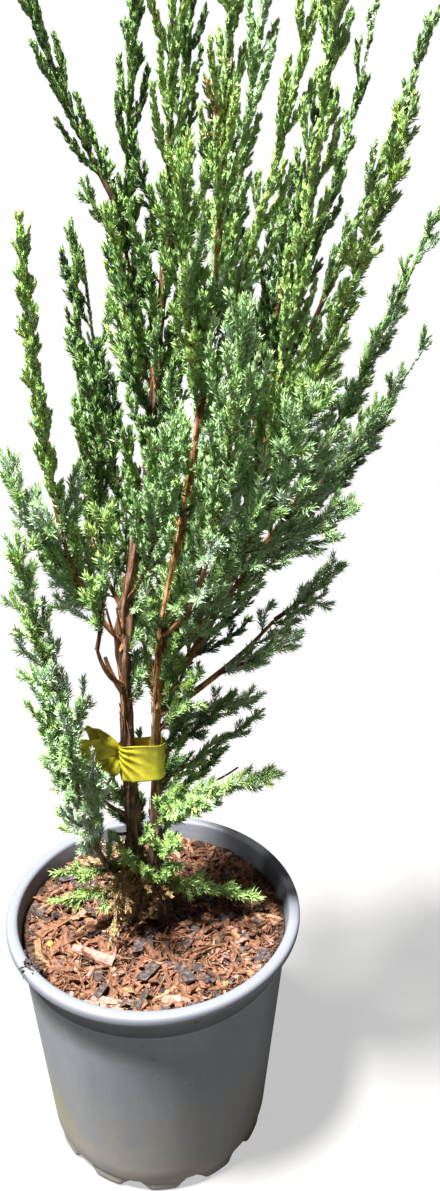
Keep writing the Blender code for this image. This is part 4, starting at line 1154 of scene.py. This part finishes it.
def slabs(centres, sizes, turns, tilts, chance):
    """Irregular slabs of bark, each with eight corners pushed about."""
    corners = np.array([(x, y, z) for z in (-0.5, 0.5) for y in (-0.5, 0.5) for x in (-0.5, 0.5)])
    points = corners[None] * sizes[:, None] * chance.uniform(0.55, 1.15, (len(centres), 8, 3))
    x, y, z = points[..., 0], points[..., 1], points[..., 2]
    cos, sin = np.cos(tilts)[:, None], np.sin(tilts)[:, None]
    x, z = x * cos - z * sin, x * sin + z * cos
    cos, sin = np.cos(turns)[:, None], np.sin(turns)[:, None]
    x, y = x * cos - y * sin, x * sin + y * cos
    vertices = np.stack([x, y, z], axis=2) + centres[:, None]
    quads = np.array([(0, 2, 3, 1), (4, 5, 7, 6), (0, 1, 5, 4), (1, 3, 7, 5), (3, 2, 6, 7), (2, 0, 4, 6)])
    faces = np.arange(len(centres))[:, None, None] * 8 + quads
    return vertices.reshape(-1, 3), faces.reshape(-1, 4)


def scatter(count, low, high, flat, chance):
    """Slabs strewn over the mulch; low and high bound their length, width and thickness."""
    reach = MULCH_REACH * np.sqrt(chance.uniform(0.0, 1.0, count))
    heading = chance.uniform(0, math.tau, count)
    sizes = chance.uniform(low, high, (count, 3)) * MM
    inside = np.minimum(1.0, (MULCH_REACH - sizes[:, 0] / 2) / np.maximum(reach, 1e-6))
    x, y = reach * np.cos(heading) * inside, reach * np.sin(heading) * inside
    z = soil_level(x, y) + sizes[:, 2] * 0.4 + chance.uniform(0, 1.6, count) * MM
    tilts = chance.normal(0.0, flat, count)
    return slabs(np.stack([x, y, z], axis=1), sizes, chance.uniform(0, math.tau, count), tilts, chance)


def chosen_slabs(rows, chance):
    """Large chips laid flat at places of their own."""
    table = np.array(rows, dtype=float).reshape(-1, 6) * np.array((MM, MM, MM, MM, MM, math.pi / 180))
    x, y, length, width, lift, turn = table.T
    centres = np.stack([x, y, soil_level(x, y) + lift], axis=1)
    sizes = np.stack([length, width, np.full(len(x), CHOSEN_THICKNESS)], axis=1)
    return slabs(centres, sizes, turn, chance.normal(0.0, 0.08, len(x)), chance)


def make_debris(material):
    """A clump of dry bits that has caught on the rim at the left, and one pellet of feed."""
    chance = np.random.default_rng(SEED + 1)
    centres = chance.normal(DEBRIS_PLACE, DEBRIS_SPREAD, (DEBRIS_COUNT, 3))
    centres[:, 2] = np.clip(centres[:, 2], POT_HEIGHT - 6 * MM, POT_HEIGHT + 4 * MM)
    sizes = chance.uniform((2.0, 0.5, 0.4), (6, 1.8, 1.0), (DEBRIS_COUNT, 3)) * MM
    turns = chance.uniform(0, math.tau, DEBRIS_COUNT)
    pile = Pile()
    pile.add(*slabs(centres, sizes, turns, chance.normal(0, 0.5, DEBRIS_COUNT), chance))
    piece_from(pile, "rim_debris", material, "potting_mix")
    bpy.ops.mesh.primitive_uv_sphere_add(segments=16, ring_count=10, radius=PELLET_RADIUS,
                                         location=PELLET_PLACE)
    pellet = bpy.context.object
    pellet.name = "feed_pellet"
    material = blotched("feed_pellet", FEED, 300.0, (1, 1, 1), 0.5, 0.2 * MM)
    place(pellet, material, "potting_mix")


def make_mulch():
    """The lumpy surface of the mix, and every kind of chip on it."""
    turns = np.arange(SURFACE_STEPS) * math.tau / SURFACE_STEPS
    reach = (np.arange(1, SURFACE_RINGS + 1) / SURFACE_RINGS)[:, None] * SURFACE_RADIUS
    x, y = reach * np.cos(turns), reach * np.sin(turns)
    chance = np.random.default_rng(SEED)
    z = soil_level(x, y) + chance.normal(0.0, 0.45 * MM, x.shape)
    pile = Pile()
    faces = grid_faces(SURFACE_RINGS, SURFACE_STEPS)[:, TURNED]
    pile.add(np.stack([x, y, z], axis=2).reshape(-1, 3), faces)
    # The mix's surface is darkened as painted shade in the gaps between chips; the source's mix takes the
    # same colours.
    earth_and_gap_shade = blotched("mulch_soil_and_gap_shade", EARTH_AND_GAP_SHADE, 260.0, (1, 1, 1), 0.95, 2.0 * MM)
    piece_from(pile, "mulch_surface", earth_and_gap_shade, "potting_mix", smooth=True)
    frame["nodes"]["potting_mix"].data.materials.clear()
    frame["nodes"]["potting_mix"].data.materials.append(earth_and_gap_shade)
    for kind, count, low, high, flat, *shades in CHIPS:
        pile = Pile()
        pile.add(*scatter(count, low, high, flat, chance))
        pile.add(*chosen_slabs([row[1:] for row in CHOSEN_CHIPS if row[0] == kind], chance))
        stops = tuple(zip((0.3, 0.5, 0.7), shades))
        material = blotched(f"mulch_{kind}", stops, 330.0, (1, 1, 1), 0.9, 0.7 * MM)
        piece_from(pile, f"mulch_{kind}", material, "potting_mix")
        if kind == "dark":
            make_debris(material)


# --- tie -------------------------------------------------------------------

def tape_material():
    """Thin plastic tape: even yellow, a little dirty, with a soft sheen."""
    surface = Surface("tie_tape", 0.38, 0.5)
    even = surface.places()
    surface.bump(surface.noise(even, 260.0, 4.0, 0.6), 0.35, 0.5 * MM)
    return surface.coloured(surface.ramp(surface.noise(even, 120.0, 5.0, 0.6), TAPE_YELLOWS))


def band_points(turns):
    """Points of the loop round the two stems, from 0 to 1 round it, starting behind the left one."""
    first, second = TIE_CENTRES
    axis = unit(second - first)
    square = np.array((axis[1], -axis[0]))
    straight = np.linalg.norm(second - first)
    half_round = math.pi * TIE_RADIUS
    run = (turns % 1.0) * 2 * (straight + half_round)
    right = run - half_round - straight
    angle = (np.clip(run, 0, half_round) + np.clip(right, 0, half_round)) / TIE_RADIUS - math.pi / 2
    shift = np.clip(run - half_round, 0, straight) - np.clip(right - half_round, 0, straight)
    way = square * np.sin(angle)[:, None] - axis * np.cos(angle)[:, None]
    return first + axis * shift[:, None] + way * TIE_RADIUS


def strip_piece(name, grid, material, *nodes):
    """A thin strip through rows of points, given the tape's thickness."""
    faces = grid_faces(*grid.shape[:2], closed=False)[:, TURNED]
    thing = linked(name, new_mesh(name, grid.reshape(-1, 3), faces, True))
    solid = thing.modifiers.new("thickness", "SOLIDIFY")
    solid.thickness = TAPE_THICKNESS
    solid.offset = 1.0
    place(thing, material, "tie_tape", *nodes)


def make_band(material):
    """The band round both stems, with folds that fan out from where it is gathered."""
    turns = np.linspace(0.0, 1.0, BAND_GRID[0])
    spots = band_points(turns)
    ahead = band_points(turns + 0.002) - spots
    out = unit(np.stack([ahead[:, 1], -ahead[:, 0]], axis=1))
    gather = np.exp(-(np.minimum(turns, 1.0 - turns) / GATHERED) ** 2)[:, None]
    turns = turns[:, None]
    part = np.linspace(0.0, 1.0, BAND_GRID[1])[None, :]
    fan = np.arctan2(part - 1.02, turns * 3.2 + 0.02)
    ridge = 1.0 - 2.0 * np.abs(np.sin(fan * 15.0))
    reach = np.hypot(part - 1.02, turns * 3.2)
    fold = ridge * (0.12 + 2.4 * gather * np.minimum(1.0, 1.6 * reach))
    drop = 2.0 * MM * np.sin(math.tau * (turns + 0.1)) * (1.0 - part)
    z = TIE_LOW + (TIE_HIGH - TIE_LOW) * (0.5 + (part - 0.5) * (1.0 - 0.22 * gather)) - drop
    flare = 0.9 * MM + 0.55 * MM * fold + 0.9 * MM * part ** 2
    level = spots[:, None] + out[:, None] * flare[..., None]
    strip_piece("tape_band", np.concatenate([level, z[..., None]], axis=2), material, "tie_band")


def make_tie():
    """The band, and the tails that leave its knot at the left."""
    material = tape_material()
    make_band(material)
    draws = random.Random(SEED)
    knot = np.array((*(TIE_CENTRES[0] - (TIE_RADIUS + 0.4 * MM, 0.0)), (TIE_LOW + TIE_HIGH) / 2))
    part = np.linspace(0.0, 1.0, TAIL_GRID[0])[:, None]
    across = np.linspace(-1.0, 1.0, TAIL_GRID[1])[None, :]
    for number, (x, y, z, half) in enumerate(TAIL_ENDS):
        way = np.array((x, y, z)) * MM - knot
        waves = [(draws.uniform(4.0, 12.0), draws.uniform(0, math.tau)) for _ in range(4)]
        fold = sum(np.sin(across * pitch + part * 9 + phase) for pitch, phase in waves) / len(waves)
        width = half * MM * (0.35 + 0.9 * np.sin(math.pi * np.minimum(1.0, part * 1.1) ** 0.8))
        aside = unit(np.cross(way, (0.0, -1.0, 0.25)))
        grid = knot + way * part[..., None] + aside * (width * across)[..., None]
        grid[..., 0] += 2.0 * MM * np.sin(across * 9.0 + number) * part
        grid[..., 1] += 2.5 * MM * np.sin(part * 7 + number) + 2.6 * MM * fold
        grid[..., 2] += 1.2 * MM * fold
        strip_piece(f"tape_tail_{number + 1}", grid, material, *(["tie_tail"] if number == 0 else []))


# --- studio ----------------------------------------------------------------

def make_camera():
    camera = linked("camera", bpy.data.cameras.new("camera"))
    camera.location = CAMERA_PLACE
    camera.rotation_euler = Vector(FORWARD).to_track_quat("-Z", "Y").to_euler()
    camera.data.lens = LENS
    camera.data.sensor_width = SENSOR
    camera.data.clip_start = 0.01
    bpy.context.scene.camera = camera


def make_light():
    """A broad key light, pale light from all round, and a white backdrop that only the camera sees."""
    key = linked("key_light", bpy.data.lights.new("key_light", "SUN"))
    key.rotation_euler = (-SUN_FROM).to_track_quat("-Z", "Y").to_euler()
    key.data.energy = SUN_STRENGTH
    key.data.angle = SUN_WIDTH
    key.data.color = SUN_COLOUR
    world = bpy.data.worlds.new("soft_box")
    bpy.context.scene.world = world
    world.use_nodes = True
    tree = world.node_tree
    sky = tree.nodes["Background"]
    sky.inputs["Color"].default_value = SKY_COLOUR
    sky.inputs["Strength"].default_value = SKY_STRENGTH
    backdrop = new_node(tree, "ShaderNodeBackground", "Background", {"Color": WHITE, "Strength": 1.0})
    seen = new_node(tree, "ShaderNodeLightPath", "Is Camera Ray")
    either = new_node(tree, "ShaderNodeMixShader", "Shader",
                      {"Fac": seen, 1: sky.outputs["Background"], 2: backdrop})
    tree.links.new(either, tree.nodes["World Output"].inputs["Surface"])
    bpy.context.scene.view_settings.view_transform = "Standard"


def make_floor():
    """A plain pale floor, which glows for the camera so that the shadow on it stays pale."""
    corners = np.array([(-1, -1, 0), (1, -1, 0), (1, 1, 0), (-1, 1, 0)]) * FLOOR_REACH
    mesh = new_mesh("floor", corners - (0.0, 0.0, 0.5 * MM), np.array([(0, 1, 2, 3)]), False)
    material = blotched("floor", FLOOR_GREYS, 3.0, (1, 1, 1), 0.9, 0.0, 0.1)
    tree = material.node_tree
    shader = tree.nodes["Principled BSDF"]
    shader.inputs["Emission Color"].default_value = WHITE
    seen = new_node(tree, "ShaderNodeLightPath", "Is Camera Ray")
    glow = new_node(tree, "ShaderNodeMath", "Value", {0: seen, 1: FLOOR_GLOW}, operation="MULTIPLY")
    tree.links.new(glow, shader.inputs["Emission Strength"])
    mesh.materials.append(material)
    linked("floor", mesh)


make_camera()
make_light()
make_floor()
make_pot()
make_mulch()
LIMBS = grow_limbs()
make_bark(LIMBS)
make_tie()
make_foliage(LIMBS)
